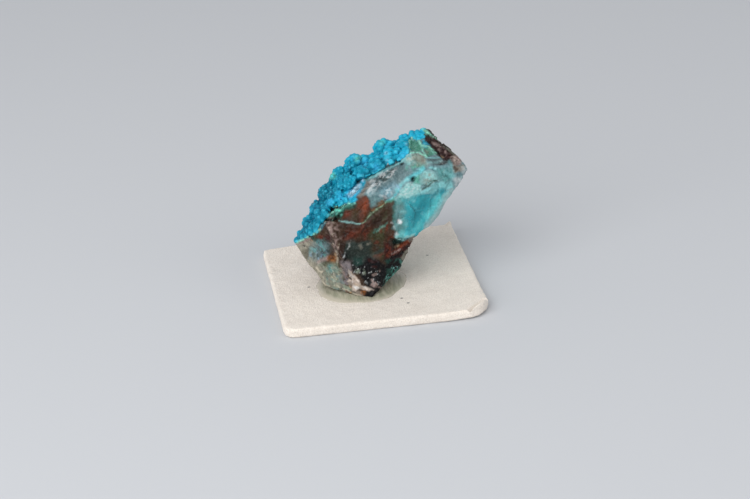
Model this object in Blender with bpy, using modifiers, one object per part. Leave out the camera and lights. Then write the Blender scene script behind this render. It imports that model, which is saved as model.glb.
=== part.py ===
"""Chrysocolla specimen: a blue botryoidal crust on broken quartz and copper-ore matrix.

The stone stands in a puddle of clear tack on a square of white foam. Metres, +Z up,
with the origin under the middle of the foam's lower face. The stone is described along
three axes of its display side, in millimetres: across to the right, up, and toward the
viewer. They start at a point on the foam's upper face, in front of the stone's middle.
"""

import math
import random

import bmesh
import bpy
import numpy as np
from mathutils import Matrix, Vector, noise
from mathutils.bvhtree import BVHTree

MM = 0.001
GAP = 0.0003

# Foam square: its four corners seen from above, its thickness and how round its corners are
FOAM_THICKNESS = 0.0024
FOAM_FRONT_LEFT = Vector((-0.0255, -0.0245))
FOAM_FRONT_RIGHT = Vector((0.0256, -0.0266))
FOAM_BACK_RIGHT = Vector((0.0256, 0.0266))
FOAM_BACK_LEFT = Vector((-0.0256, 0.0244))
FOAM_CORNER_SHARE = 0.06
FOAM_CORNER_STEPS = 4
FOAM_MIDDLE_STEPS = 5
FOAM_ROUND_FRONT_LEFT = 0.9
FOAM_ROUND_BACK_LEFT = 0.85
FOAM_ROUND_FRONT_RIGHT = 1.0
FOAM_ROUND_BACK_RIGHT = 0.1
FOAM_CURL_HEIGHT = 0.0011
FOAM_CURL_REACH = 0.0075
FOAM_CURL_POWER = 1.5
FOAM_EDGE_ROUND = 0.0006
FOAM_EDGE_ANGLE = math.radians(50)

# Clear tack: a low dome, a little out of round. Each wave of its rim has a number of crests,
# a turn in radians and a share of the radius.
TACK_CENTRE = Vector((-0.0034, -0.0037))
TACK_RADIUS = 0.0113
TACK_HEIGHT = 0.0017
TACK_FLOOR = 0.0005
TACK_RIM_HEIGHT = 0.0003
TACK_RIM_UNDERCUT = 0.0002
TACK_FULLNESS = 0.6
TACK_WAVES = ((2, 0.6, 0.035), (5, 1.0, 0.018))
TACK_PROFILE_STEPS = 7
TACK_TURN_STEPS = 56
POCKET_GAP = 1.3 * GAP
POCKET_MARGIN = 0.0012

# Display axes of the stone, and the point that they start from
DISPLAY_TURN = math.radians(-7.5)
DISPLAY_TIP = math.radians(-24.8)
DISPLAY_ROLL = math.radians(-3.8)
DISPLAY_START = Vector((-0.0020, -0.0090, FOAM_THICKNESS))
STONE_FLOOR = FOAM_THICKNESS + GAP + TACK_FLOOR + GAP

# Broken foot of the stone, with the brown and grey faces: across, up, toward
FOOT_BLOCK = (
    (-19.0, 12.0, -1.0),
    (-17.6, 13.8, -3.5),
    (-15.6, 17.4, -2.5),
    (-14.6, 16.4, -7.0),
    (-10.5, 17.5, 8.0),
    (-7.0, 9.5, 7.5),
    (0.5, -1.5, 4.0),
    (-6.5, 0.5, 1.5),
    (-11.5, 1.5, -0.5),
    (-16.0, 8.0, -2.5),
    (5.5, 3.5, 1.5),
    (8.0, 6.0, 0.5),
    (9.8, 8.6, 0.3),
    (10.9, 12.2, 0.3),
    (5.0, 14.0, 7.3),
    (6.0, 21.5, 8.8),
    (-6.0, 21.5, 8.5),
    (-13.5, 7.5, -11.0),
    (-5.0, 5.5, -9.5),
    (4.0, 7.5, -12.0),
    (6.5, 15.0, -13.5),
    (-11.5, 20.0, -11.0),
)

# Upper block with the teal and the quartz face, and the slope that carries the crust
UPPER_BLOCK = (
    (-6.0, 21.5, 8.5),
    (-2.0, 24.5, 8.5),
    (2.5, 28.3, 7.5),
    (10.5, 35.3, 5.0),
    (15.0, 32.5, 7.0),
    (19.0, 31.5, 6.5),
    (6.0, 21.5, 9.5),
    (15.0, 25.5, 8.0),
    (-1.0, 18.0, 8.4),
    (6.7, 12.8, 7.6),
    (11.2, 14.2, 5.2),
    (15.2, 16.7, 4.2),
    (17.7, 19.7, 4.2),
    (21.2, 25.7, 4.2),
    (24.2, 30.5, 3.5),
    (22.8, 33.6, 2.0),
    (19.6, 36.0, -0.5),
    (14.6, 40.9, -3.0),
    (-13.4, 21.4, -2.5),
    (-9.4, 27.6, -4.0),
    (-5.4, 31.2, -5.0),
    (2.2, 35.4, -5.5),
    (9.0, 37.6, -5.5),
    (12.8, 40.0, -5.5),
    (-12.0, 20.6, -8.0),
    (-8.0, 26.4, -10.0),
    (-3.6, 30.2, -11.0),
    (3.0, 33.8, -11.5),
    (9.4, 36.0, -11.0),
    (14.0, 38.6, -9.5),
    (6.5, 15.0, -13.5),
    (14.2, 23.5, -13.5),
    (19.8, 32.4, -11.5),
    (18.0, 36.2, -11.0),
)

# Big swellings of the crust: across, up, toward, radius
CRUST_SWELLINGS = (
    (13.2, 39.4, -4.0, 1.9),
    (8.9, 36.6, -4.6, 2.2),
    (3.9, 35.4, -4.2, 2.9),
    (-0.2, 32.4, -3.6, 2.2),
    (-3.6, 31.4, -3.6, 2.8),
    (-7.6, 28.2, -2.8, 2.5),
    (-10.6, 24.8, -2.4, 2.4),
    (-13.2, 21.0, -1.8, 2.3),
    (-15.2, 17.6, -1.6, 1.9),
    (-17.2, 14.2, -1.8, 1.5),
    (-1.6, 28.6, 2.6, 2.5),
    (2.0, 30.8, 2.4, 2.7),
    (5.8, 33.2, 1.4, 2.7),
    (8.8, 35.2, 0.4, 2.2),
    (-5.4, 27.0, 2.6, 2.5),
    (-8.4, 23.2, 3.0, 2.2),
    (-11.6, 19.4, 3.2, 1.9),
    (-14.4, 15.6, 2.0, 1.6),
)

# Edge of the crust, seen along the direction that its slope faces: across, up, toward
CRUST_EDGE = (
    (-19.0, 12.2, -2.0),
    (-14.6, 14.6, 3.0),
    (-10.7, 18.0, 7.4),
    (-6.2, 22.0, 8.0),
    (-2.2, 25.1, 8.0),
    (2.3, 29.0, 7.0),
    (7.4, 33.0, 6.0),
    (10.3, 35.9, 4.4),
    (14.4, 40.6, -2.5),
    (13.6, 39.4, -9.0),
    (9.2, 36.6, -10.6),
    (2.8, 34.4, -11.0),
    (-4.0, 30.8, -10.4),
    (-8.6, 27.0, -9.4),
    (-12.4, 21.0, -7.4),
    (-15.4, 16.6, -6.0),
    (-18.2, 13.8, -4.0),
)
CRUST_FACING = Vector((-0.61, 0.68, 0.41)).normalized()
SWELLING_FLATNESS = 0.85

# Lumps on the crust: rows of them, shaken out of line, each sunk by a share of its radius
LUMP_SPACING = 1.75
LUMP_ROW_PITCH = LUMP_SPACING * math.sqrt(3) / 2
LUMP_SHAKE = 0.3 * LUMP_SPACING
LUMP_RADIUS_SMALL = 0.75
LUMP_RADIUS_LARGE = 1.3
LUMP_SINK = 0.3
LUMP_DROP_HEIGHT = 40.0
LUMP_SEED = 11

# Hollows and raised seams pressed into the surface: start, end, radius, depth (in is positive)
PRESSES = (
    ((-3.2, 27.6, 5.5), (1.5, 29.4, 5.6), 1.2, 1.9),
    ((1.5, 29.4, 5.6), (7.4, 33.6, 4.6), 0.9, 1.4),
    ((-10.8, 18.2, 7.6), (-8.2, 18.0, 8.0), 0.8, 1.2),
    ((10.7, 28.3, 8.0), (10.9, 28.5, 7.0), 0.7, 1.3),
    ((7.4, 11.4, 6.0), (11.6, 13.4, 3.0), 1.3, 1.7),
    ((6.4, 13.6, 8.2), (11.4, 14.6, 5.4), 0.9, -0.6),
    ((-8.6, 15.6, 8.0), (-2.8, 14.9, 8.4), 0.7, -0.5),
    ((-2.8, 14.9, 8.4), (3.0, 20.4, 9.2), 0.7, -0.5),
    ((-10.4, 16.4, 8.2), (-6.4, 8.8, 7.6), 1.0, -0.6),
    ((-6.4, 8.8, 7.6), (-2.6, 2.6, 5.6), 1.1, -0.7),
    ((-4.6, 8.6, 7.2), (0.6, 9.6, 7.4), 2.2, 0.9),
    ((0.8, 3.2, 5.6), (3.4, 6.2, 4.8), 1.6, 0.8),
    ((-15.6, 9.8, 1.6), (-10.6, 9.8, 5.2), 2.2, 0.8),
    ((-12.8, 4.0, 1.6), (-8.8, 3.4, 4.4), 1.8, 0.7),
    ((15.6, 38.0, 0.6), (19.8, 33.4, 4.0), 1.4, 0.8),
    ((12.4, 20.6, 8.2), (17.6, 24.0, 6.4), 3.2, 0.6),
)

# Broken surface: size and height of its chips, and of the finer grain on them.
# Both fade out on the lumps, from the first to the second of two shares of a lump's radius.
CHIP_SIZE = 7.0
CHIP_HEIGHT = 0.7
CHIP_LEVEL = 0.35
GRAIN_SIZE = 2.4
GRAIN_HEIGHT = 0.14
LUMP_SMOOTH_TO = 1.05
LUMP_BROKEN_FROM = 1.65
LUMP_ROUGHNESS = 0.12

# Size of the cells that fuse the stone's bodies, and the triangles that it is thinned to
FUSE_CELL = 0.00045
STONE_TRIANGLES = 7600

COLLECTION_NAME = "chrysocolla_specimen"
CUTTER_COLLECTION_NAME = "cutters"


def display_matrix():
    """Matrix from the display axes, in metres, to the specimen's own frame."""
    turn = Matrix.Rotation(DISPLAY_TURN, 4, "Z")
    tip = Matrix.Rotation(DISPLAY_TIP, 4, "X")
    roll = Matrix.Rotation(-DISPLAY_ROLL, 4, "Y")
    axes = Matrix(((1, 0, 0, 0), (0, 0, -1, 0), (0, 1, 0, 0), (0, 0, 0, 1)))
    return Matrix.Translation(DISPLAY_START) @ turn @ tip @ roll @ axes


DISPLAY = display_matrix()
DISPLAY_INVERSE = DISPLAY.inverted()


def place(across, up, toward):
    """Point of the specimen from its display coordinates in millimetres."""
    return DISPLAY @ (Vector((across, up, toward)) * MM)


def new_material(name, colour, roughness, transmission=0.0):
    """Principled material with one colour."""
    material = bpy.data.materials.new(name)
    material.use_nodes = True
    shader = material.node_tree.nodes["Principled BSDF"]
    shader.inputs["Base Color"].default_value = (*colour, 1.0)
    shader.inputs["Roughness"].default_value = roughness
    shader.inputs["Metallic"].default_value = 0.0
    shader.inputs["Transmission Weight"].default_value = transmission
    return material


def new_object(name, mesh, collection, material=None):
    """Object around a mesh, linked to a collection."""
    obj = bpy.data.objects.new(name, mesh)
    collection.objects.link(obj)
    if material is not None:
        mesh.materials.clear()
        mesh.materials.append(material)
    return obj


def mesh_from(bm, name):
    """Mesh with outward faces from an edit mesh, which is freed."""
    bmesh.ops.recalc_face_normals(bm, faces=bm.faces)
    mesh = bpy.data.meshes.new(name)
    bm.to_mesh(mesh)
    bm.free()
    return mesh


def evaluated_mesh(obj):
    """Copy of an object's mesh with its modifiers applied."""
    bpy.context.view_layer.update()
    return bpy.data.meshes.new_from_object(obj.evaluated_get(bpy.context.evaluated_depsgraph_get()))


def add_hull(bm, points):
    """Add the closed convex block around some points."""
    block = bmesh.new()
    for point in points:
        block.verts.new(point)
    result = bmesh.ops.convex_hull(block, input=block.verts)
    inner = set(result["geom_interior"]) | set(result["geom_unused"])
    bmesh.ops.delete(block, geom=[item for item in inner if isinstance(item, bmesh.types.BMVert)])
    part = bpy.data.meshes.new("block")
    block.to_mesh(part)
    block.free()
    bm.from_mesh(part)
    bpy.data.meshes.remove(part)


def add_ball(bm, centre, radius, flatness=1.0):
    """Add a ball, flattened along the direction that the crust faces."""
    facing = (DISPLAY.to_3x3() @ CRUST_FACING).to_track_quat("Z", "Y").to_matrix().to_4x4()
    shape = Matrix.Translation(centre) @ facing @ Matrix.Diagonal((1.0, 1.0, flatness, 1.0))
    bmesh.ops.create_icosphere(bm, subdivisions=2, radius=radius, matrix=shape)


def crust_plane():
    """Two directions along the crust's slope, in display coordinates."""
    along = CRUST_FACING.cross(Vector((0, 0, 1))).normalized()
    return along, CRUST_FACING.cross(along)


def inside_outline(x, y, outline):
    """Whether a flat point lies inside a closed outline."""
    inside = False
    previous_x, previous_y = outline[-1]
    for corner_x, corner_y in outline:
        if (corner_y > y) != (previous_y > y):
            crossing = corner_x + (y - corner_y) * (previous_x - corner_x) / (previous_y - corner_y)
            if x < crossing:
                inside = not inside
        previous_x, previous_y = corner_x, corner_y
    return inside


def crust_lumps(ground):
    """Centres and radii of the crust's lumps, settled on the ground mesh from above its slope."""
    chance = random.Random(LUMP_SEED)
    along, upslope = crust_plane()
    outline = [(Vector(p).dot(along), Vector(p).dot(upslope)) for p in CRUST_EDGE]
    low_x, high_x = min(p[0] for p in outline), max(p[0] for p in outline)
    low_y, high_y = min(p[1] for p in outline), max(p[1] for p in outline)
    drop = -(DISPLAY.to_3x3() @ CRUST_FACING)
    lumps = []
    for row in range(math.ceil((high_y - low_y) / LUMP_ROW_PITCH)):
        y = low_y + (row + 0.5) * LUMP_ROW_PITCH
        row_start = low_x + LUMP_SPACING / 2 * (row % 2)
        for column in range(math.ceil((high_x - row_start) / LUMP_SPACING)):
            flat_x = row_start + column * LUMP_SPACING + chance.uniform(-LUMP_SHAKE, LUMP_SHAKE)
            flat_y = y + chance.uniform(-LUMP_SHAKE, LUMP_SHAKE)
            radius = chance.uniform(LUMP_RADIUS_SMALL, LUMP_RADIUS_LARGE)
            if not inside_outline(flat_x, flat_y, outline):
                continue
            above = along * flat_x + upslope * flat_y + CRUST_FACING * LUMP_DROP_HEIGHT
            hit, normal, _, _ = ground.ray_cast(place(*above), drop)
            if hit is not None:
                lumps.append((hit - normal * radius * LUMP_SINK * MM, radius * MM))
    return lumps


def distance_to_stroke(points, start, end):
    """Distance of each point to the line between two points."""
    start = np.array(start)
    line = np.array(end) - start
    share = np.clip((points - start) @ line / max(line @ line, 1e-12), 0.0, 1.0)
    return np.linalg.norm(points - start - share[:, None] * line, axis=1)


def break_surface(mesh, lumps):
    """Press the hollows, seams, chips and grain of the broken faces into a fine mesh."""
    count = len(mesh.vertices)
    places = np.empty(count * 3)
    mesh.vertices.foreach_get("co", places)
    places = places.reshape(-1, 3)
    normals = np.empty(count * 3)
    mesh.vertex_normals.foreach_get("vector", normals)
    normals = normals.reshape(-1, 3)
    inverse = np.array(DISPLAY_INVERSE)
    shown = (places @ inverse[:3, :3].T + inverse[:3, 3]) / MM
    move = np.zeros(count)
    for start, end, radius, depth in PRESSES:
        reach = distance_to_stroke(shown, start, end) / radius
        move -= depth * np.exp(-reach * reach)
    chips = np.empty(count)
    for index, point in enumerate(shown):
        spot = Vector(point)
        chip = noise.voronoi(spot / CHIP_SIZE)[0][0]
        grain = noise.fractal(spot / GRAIN_SIZE, 1.0, 2.0, 2)
        chips[index] = (CHIP_LEVEL - chip) * CHIP_HEIGHT + grain * GRAIN_HEIGHT
    broken = np.ones(count)
    for centre, radius in lumps:
        away = np.linalg.norm(places - np.array(centre), axis=1) / radius
        share = (away - LUMP_SMOOTH_TO) / (LUMP_BROKEN_FROM - LUMP_SMOOTH_TO)
        broken = np.minimum(broken, np.clip(share, LUMP_ROUGHNESS, 1.0))
    move += chips * broken
    places += normals * (move * MM)[:, None]
    places[:, 2] = np.maximum(places[:, 2], STONE_FLOOR)
    mesh.vertices.foreach_set("co", places.ravel())
    mesh.update()


def fused(mesh, collection):
    """Even, closed mesh around a mesh's overlapping bodies."""
    rough = new_object("rough_stone", mesh, collection)
    fuse = rough.modifiers.new("fuse", "REMESH")
    fuse.mode = "VOXEL"
    fuse.voxel_size = FUSE_CELL
    fine = evaluated_mesh(rough)
    bpy.data.objects.remove(rough)
    return fine


def stone(collection):
    """The specimen: two broken blocks with the crust's swellings and lumps grown on them."""
    bm = bmesh.new()
    add_hull(bm, [place(*corner) for corner in FOOT_BLOCK])
    add_hull(bm, [place(*corner) for corner in UPPER_BLOCK])
    for across, up, toward, radius in CRUST_SWELLINGS:
        add_ball(bm, place(across, up, toward), radius * MM, SWELLING_FLATNESS)
    bm.normal_update()
    lumps = crust_lumps(BVHTree.FromBMesh(bm))
    for centre, radius in lumps:
        add_ball(bm, centre, radius)
    fine = fused(mesh_from(bm, "blocks"), collection)
    break_surface(fine, lumps)
    material = new_material("chrysocolla", (0.05, 0.33, 0.42), 0.45)
    obj = new_object("specimen_stone", fine, collection, material)
    thin = obj.modifiers.new("fewer faces", "DECIMATE")
    thin.ratio = STONE_TRIANGLES / sum(len(face.vertices) - 2 for face in fine.polygons)
    return obj


def foam_point(right, back):
    """Point of the foam's outline grid, from two shares across the square."""
    front = FOAM_FRONT_LEFT.lerp(FOAM_FRONT_RIGHT, right)
    rear = FOAM_BACK_LEFT.lerp(FOAM_BACK_RIGHT, right)
    return front.lerp(rear, back)


def foam_shares():
    """Shares along a side of the foam square, close together at its two ends."""
    corner = [FOAM_CORNER_SHARE * step / FOAM_CORNER_STEPS for step in range(FOAM_CORNER_STEPS)]
    width = 1.0 - 2 * FOAM_CORNER_SHARE
    middle = [FOAM_CORNER_SHARE + width * step / FOAM_MIDDLE_STEPS for step in range(FOAM_MIDDLE_STEPS + 1)]
    return corner + middle + [1.0 - share for share in reversed(corner)]


def rounded_share(right, back):
    """Draw the grid in at a corner, so that its square shells become round ones."""
    roundness = {
        (0, 0): FOAM_ROUND_FRONT_LEFT,
        (0, 1): FOAM_ROUND_BACK_LEFT,
        (1, 0): FOAM_ROUND_FRONT_RIGHT,
        (1, 1): FOAM_ROUND_BACK_RIGHT,
    }
    side = (round(right), round(back))
    centre = Vector([FOAM_CORNER_SHARE if end == 0 else 1.0 - FOAM_CORNER_SHARE for end in side])
    out = Vector((right, back)) - centre
    sideways = out.x * (1 if side[0] else -1)
    endways = out.y * (1 if side[1] else -1)
    if min(sideways, endways) <= 0.0:
        return right, back
    shell = max(sideways, endways) / out.length
    return tuple(centre + out * (1.0 + roundness[side] * (shell - 1.0)))


def foam(collection):
    """Foam square: one sheet drawn to its outline, with one corner nipped and curled up."""
    shares = foam_shares()
    steps = len(shares) - 1
    bm = bmesh.new()
    bmesh.ops.create_grid(bm, x_segments=steps, y_segments=steps, size=0.5)
    for vert in bm.verts:
        right = shares[round((vert.co.x + 0.5) * steps)]
        back = shares[round((vert.co.y + 0.5) * steps)]
        spot = foam_point(*rounded_share(right, back))
        nearness = max(0.0, 1.0 - (spot - FOAM_FRONT_RIGHT).length / FOAM_CURL_REACH)
        lift = FOAM_CURL_HEIGHT * nearness**FOAM_CURL_POWER
        vert.co = (spot.x, spot.y, FOAM_THICKNESS + lift)
    mesh = bpy.data.meshes.new("foam")
    bm.to_mesh(mesh)
    bm.free()
    obj = new_object("foam_base", mesh, collection, new_material("white_foam", (0.76, 0.73, 0.70), 0.9))
    body = obj.modifiers.new("thickness", "SOLIDIFY")
    body.thickness = FOAM_THICKNESS
    body.offset = -1.0
    edge = obj.modifiers.new("soft edge", "BEVEL")
    edge.width = FOAM_EDGE_ROUND
    edge.segments = 2
    edge.limit_method = "ANGLE"
    edge.angle_limit = FOAM_EDGE_ANGLE
    mesh.shade_smooth()
    return obj


def tack_dome(collection):
    """Low dome of tack: a turned profile, drawn a little out of round."""
    bottom = FOAM_THICKNESS + GAP
    top = FOAM_THICKNESS + TACK_HEIGHT
    profile = []
    for step in range(TACK_PROFILE_STEPS):
        share = step / TACK_PROFILE_STEPS
        rise = math.cos(share * math.pi / 2) ** TACK_FULLNESS
        profile.append((TACK_RADIUS * share, 0.0, bottom + (top - bottom) * rise))
    profile.append((TACK_RADIUS, 0.0, bottom + TACK_RIM_HEIGHT))
    profile.append((TACK_RADIUS - TACK_RIM_UNDERCUT, 0.0, bottom))
    profile.append((0.0, 0.0, bottom))
    line = bpy.data.meshes.new("tack_profile")
    line.from_pydata(profile, [(i, i + 1) for i in range(len(profile) - 1)], [])
    turned = new_object("tack_profile", line, collection)
    turn = turned.modifiers.new("turn", "SCREW")
    turn.steps = TACK_TURN_STEPS
    turn.render_steps = TACK_TURN_STEPS
    turn.use_merge_vertices = True
    turn.merge_threshold = 0.00001
    bm = bmesh.new()
    bm.from_mesh(evaluated_mesh(turned))
    bpy.data.objects.remove(turned)
    for vert in bm.verts:
        angle = math.atan2(vert.co.y, vert.co.x)
        wave = 1.0 + sum(share * math.sin(crests * angle + turn) for crests, turn, share in TACK_WAVES)
        vert.co.x = vert.co.x * wave + TACK_CENTRE.x
        vert.co.y = vert.co.y * wave + TACK_CENTRE.y
    return mesh_from(bm, "tack")


def foot_cutter(stone_object, collection):
    """Block around the stone's foot, wider than it by a gap on every side."""
    reach = FOAM_THICKNESS + TACK_HEIGHT + POCKET_MARGIN
    star = bmesh.new()
    bmesh.ops.create_icosphere(star, subdivisions=1, radius=POCKET_GAP)
    offsets = [vert.co.copy() for vert in star.verts]
    star.free()
    low = [vert.co for vert in evaluated_mesh(stone_object).vertices if vert.co.z < reach]
    bm = bmesh.new()
    add_hull(bm, [point + offset for point in low for offset in offsets])
    cutter = new_object("foot_cutter", mesh_from(bm, "foot_cutter"), collection)
    cutter.hide_render = True
    cutter.display_type = "WIRE"
    return cutter


def tack(collection, cutter):
    """Clear tack puddle, with the pocket that the stone's foot stands in."""
    material = new_material("clear_tack", (0.62, 0.60, 0.54), 0.15, transmission=0.8)
    obj = new_object("clear_tack", tack_dome(collection), collection, material)
    pocket = obj.modifiers.new("pocket", "BOOLEAN")
    pocket.operation = "DIFFERENCE"
    pocket.solver = "EXACT"
    pocket.object = cutter
    obj.data.shade_smooth()
    return obj


def main():
    """Clear the scene and build the three pieces."""
    for old in list(bpy.data.objects):
        bpy.data.objects.remove(old, do_unlink=True)
    parts = bpy.data.collections.new(COLLECTION_NAME)
    cutters = bpy.data.collections.new(CUTTER_COLLECTION_NAME)
    bpy.context.scene.collection.children.link(parts)
    bpy.context.scene.collection.children.link(cutters)
    foam(parts)
    stone_object = stone(parts)
    tack(parts, foot_cutter(stone_object, cutters))


main()
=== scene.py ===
"""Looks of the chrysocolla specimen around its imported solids.

A blue, grape-like crust of chrysocolla has grown on one slope of a broken stone of teal
chalcedony, quartz and iron-stained copper ore. The stone stands in a puddle of clear tack
on a square of white foam. Shapes are described along the display axes of the stone, in
millimetres: across to the right, up, and toward the viewer.
"""

import logging
import math
import random
from dataclasses import dataclass, field
from enum import Enum, IntEnum

import bmesh
import bpy
import numpy as np
from mathutils import Matrix, Vector, noise
from mathutils.bvhtree import BVHTree


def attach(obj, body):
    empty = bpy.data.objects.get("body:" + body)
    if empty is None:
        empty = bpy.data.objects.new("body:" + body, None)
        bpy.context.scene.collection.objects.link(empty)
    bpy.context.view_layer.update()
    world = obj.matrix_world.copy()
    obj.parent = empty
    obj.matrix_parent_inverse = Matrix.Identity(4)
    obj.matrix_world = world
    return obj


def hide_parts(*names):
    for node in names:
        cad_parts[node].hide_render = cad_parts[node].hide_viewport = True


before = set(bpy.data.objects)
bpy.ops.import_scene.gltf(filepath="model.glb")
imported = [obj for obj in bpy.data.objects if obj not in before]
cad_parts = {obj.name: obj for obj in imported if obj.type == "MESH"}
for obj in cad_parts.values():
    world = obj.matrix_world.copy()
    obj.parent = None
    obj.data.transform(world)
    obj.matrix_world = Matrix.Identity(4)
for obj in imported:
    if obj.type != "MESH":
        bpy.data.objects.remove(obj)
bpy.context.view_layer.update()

LOG = logging.getLogger("chrysocolla_specimen")
MM = 0.001
Point = tuple[float, float, float]
Spot = tuple[float, float]
Warp = tuple[float, float, int]
TINY = 1e-12


def linear(hex_code: str) -> tuple[float, float, float, float]:
    """Turn an sRGB colour into the linear colour that a shader takes.

    Args:
        hex_code: six hexadecimal digits, red first.

    Returns:
        Linear red, green, blue, and an alpha of one.
    """
    shares = [int(hex_code[start : start + 2], 16) / 255 for start in (0, 2, 4)]
    light = [share / 12.92 if share <= 0.04045 else ((share + 0.055) / 1.055) ** 2.4 for share in shares]
    return (*light, 1.0)


def smooth_step(low: float, high: float, value: np.ndarray) -> np.ndarray:
    """Rise softly from 0 at the low value to 1 at the high one."""
    share = np.clip((value - low) / (high - low), 0.0, 1.0)
    return share * share * (3.0 - 2.0 * share)


@dataclass(frozen=True)
class DisplayAxes:
    """Axes of the stone's display side, which its forms and stains are described along."""

    turn: float = math.radians(-7.5)
    tip: float = math.radians(-24.8)
    roll: float = math.radians(-3.8)
    start: Point = (-0.0020, -0.0090, 0.0024)

    def matrix(self) -> Matrix:
        """Turn and shift the display axes into the specimen's frame.

        Returns:
            Matrix from display axes, in metres, to that frame.
        """
        turned = Matrix.Rotation(self.turn, 4, "Z") @ Matrix.Rotation(self.tip, 4, "X")
        axes = Matrix(((1, 0, 0, 0), (0, 0, -1, 0), (0, 1, 0, 0), (0, 0, 0, 1)))
        return Matrix.Translation(self.start) @ turned @ Matrix.Rotation(-self.roll, 4, "Y") @ axes

    def place(self, across: float, up: float, toward: float) -> Vector:
        """Point of the specimen from its display coordinates in millimetres."""
        return self.matrix() @ (Vector((across, up, toward)) * MM)

    def shown(self, places: np.ndarray) -> np.ndarray:
        """Display coordinates, in millimetres, of points in the specimen's frame."""
        back = np.array(self.matrix().inverted())
        return (places @ back[:3, :3].T + back[:3, 3]) / MM

    def turned(self, directions: np.ndarray) -> np.ndarray:
        """Directions of the specimen's frame, seen along the display axes."""
        return directions @ np.array(self.matrix().inverted().to_3x3()).T


@dataclass(frozen=True)
class Chance:
    """Seeded noise in space: soft clouds, and cells that each have a random facet."""

    seed: int
    steps: tuple[int, int, int] = (73856093, 19349663, 83492791)
    seed_step: int = 7919
    salt_step: int = 104729
    half: int = 16
    octave_shift: float = 17.3
    far: float = 9.0
    twist: int = 0x45D9F3B
    mask: int = 0xFFFFFFFF

    def shares(self, cells: np.ndarray, salt: int) -> np.ndarray:
        """Give each whole lattice place a random share.

        Args:
            cells: whole numbers, one row of three for each place.
            salt: a number that sets one draw at a place apart from another.

        Returns:
            A share from 0 to 1 for each place.
        """
        mixed = cells.astype(np.int64) * np.array(self.steps)
        value = mixed[..., 0] ^ mixed[..., 1] ^ mixed[..., 2]
        value = (value ^ (self.seed * self.seed_step + salt * self.salt_step)) & self.mask
        for _ in range(2):
            value = ((value ^ (value >> self.half)) * self.twist) & self.mask
        return (value ^ (value >> self.half)) / self.mask

    def cloud(self, points: np.ndarray, size: float, octaves: int = 1) -> np.ndarray:
        """Soft noise from -1 to 1, with finer and weaker octaves added.

        Args:
            points: where the noise is wanted, in millimetres.
            size: size of the largest clouds, in millimetres.
            octaves: number of layers, each half as large and half as strong.

        Returns:
            The noise at each point.
        """
        total = np.zeros(len(points))
        weight = 1.0
        for octave in range(octaves):
            spot = points * (2**octave / size) + self.octave_shift * octave
            floor = np.floor(spot)
            part = spot - floor
            part = part * part * (3.0 - 2.0 * part)
            value = np.zeros(len(points))
            for corner in np.ndindex(2, 2, 2):
                weights = np.prod(np.where(np.array(corner) == 1, part, 1.0 - part), axis=1)
                value += weights * self.shares(floor + corner, octave)
            total += weight * (2.0 * value - 1.0)
            weight *= 0.5
        return total

    def drift(self, points: np.ndarray, size: float, octaves: int, axes: int = 3) -> np.ndarray:
        """Soft noise for each of a number of axes, one column for each."""
        draws = [Chance(self.seed + axis) for axis in range(axes)]
        return np.column_stack([draw.cloud(points, size, octaves) for draw in draws])

    def cells(self, points: np.ndarray, size: float) -> tuple[np.ndarray, np.ndarray, np.ndarray]:
        """Divide space into random cells, each with a facet of its own tilt.

        Args:
            points: where the cells are wanted, in millimetres.
            size: mean width of a cell, in millimetres.

        Returns:
            Distance to the nearest cell's centre and to the second nearest, both as a
            share of the size, and the height of the nearest cell's tilted facet.
        """
        spot = points / size
        floor = np.floor(spot)
        nearest = np.full(len(points), self.far)
        second = np.full(len(points), self.far)
        facet = np.zeros(len(points))
        for corner in np.ndindex(3, 3, 3):
            home = floor + corner - 1
            centre = home + np.stack([self.shares(home, salt) for salt in range(3)], axis=1)
            away = spot - centre
            distance = np.linalg.norm(away, axis=1)
            tilt = np.stack([self.shares(home, salt) for salt in range(3, 6)], axis=1) * 2.0 - 1.0
            height = np.einsum("ij,ij->i", away, tilt) + self.shares(home, 6) - 0.5
            closer = distance < nearest
            second = np.where(closer, nearest, np.minimum(second, distance))
            facet = np.where(closer, height, facet)
            nearest = np.where(closer, distance, nearest)
        return nearest, second, facet


AXES = DisplayAxes()


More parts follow.
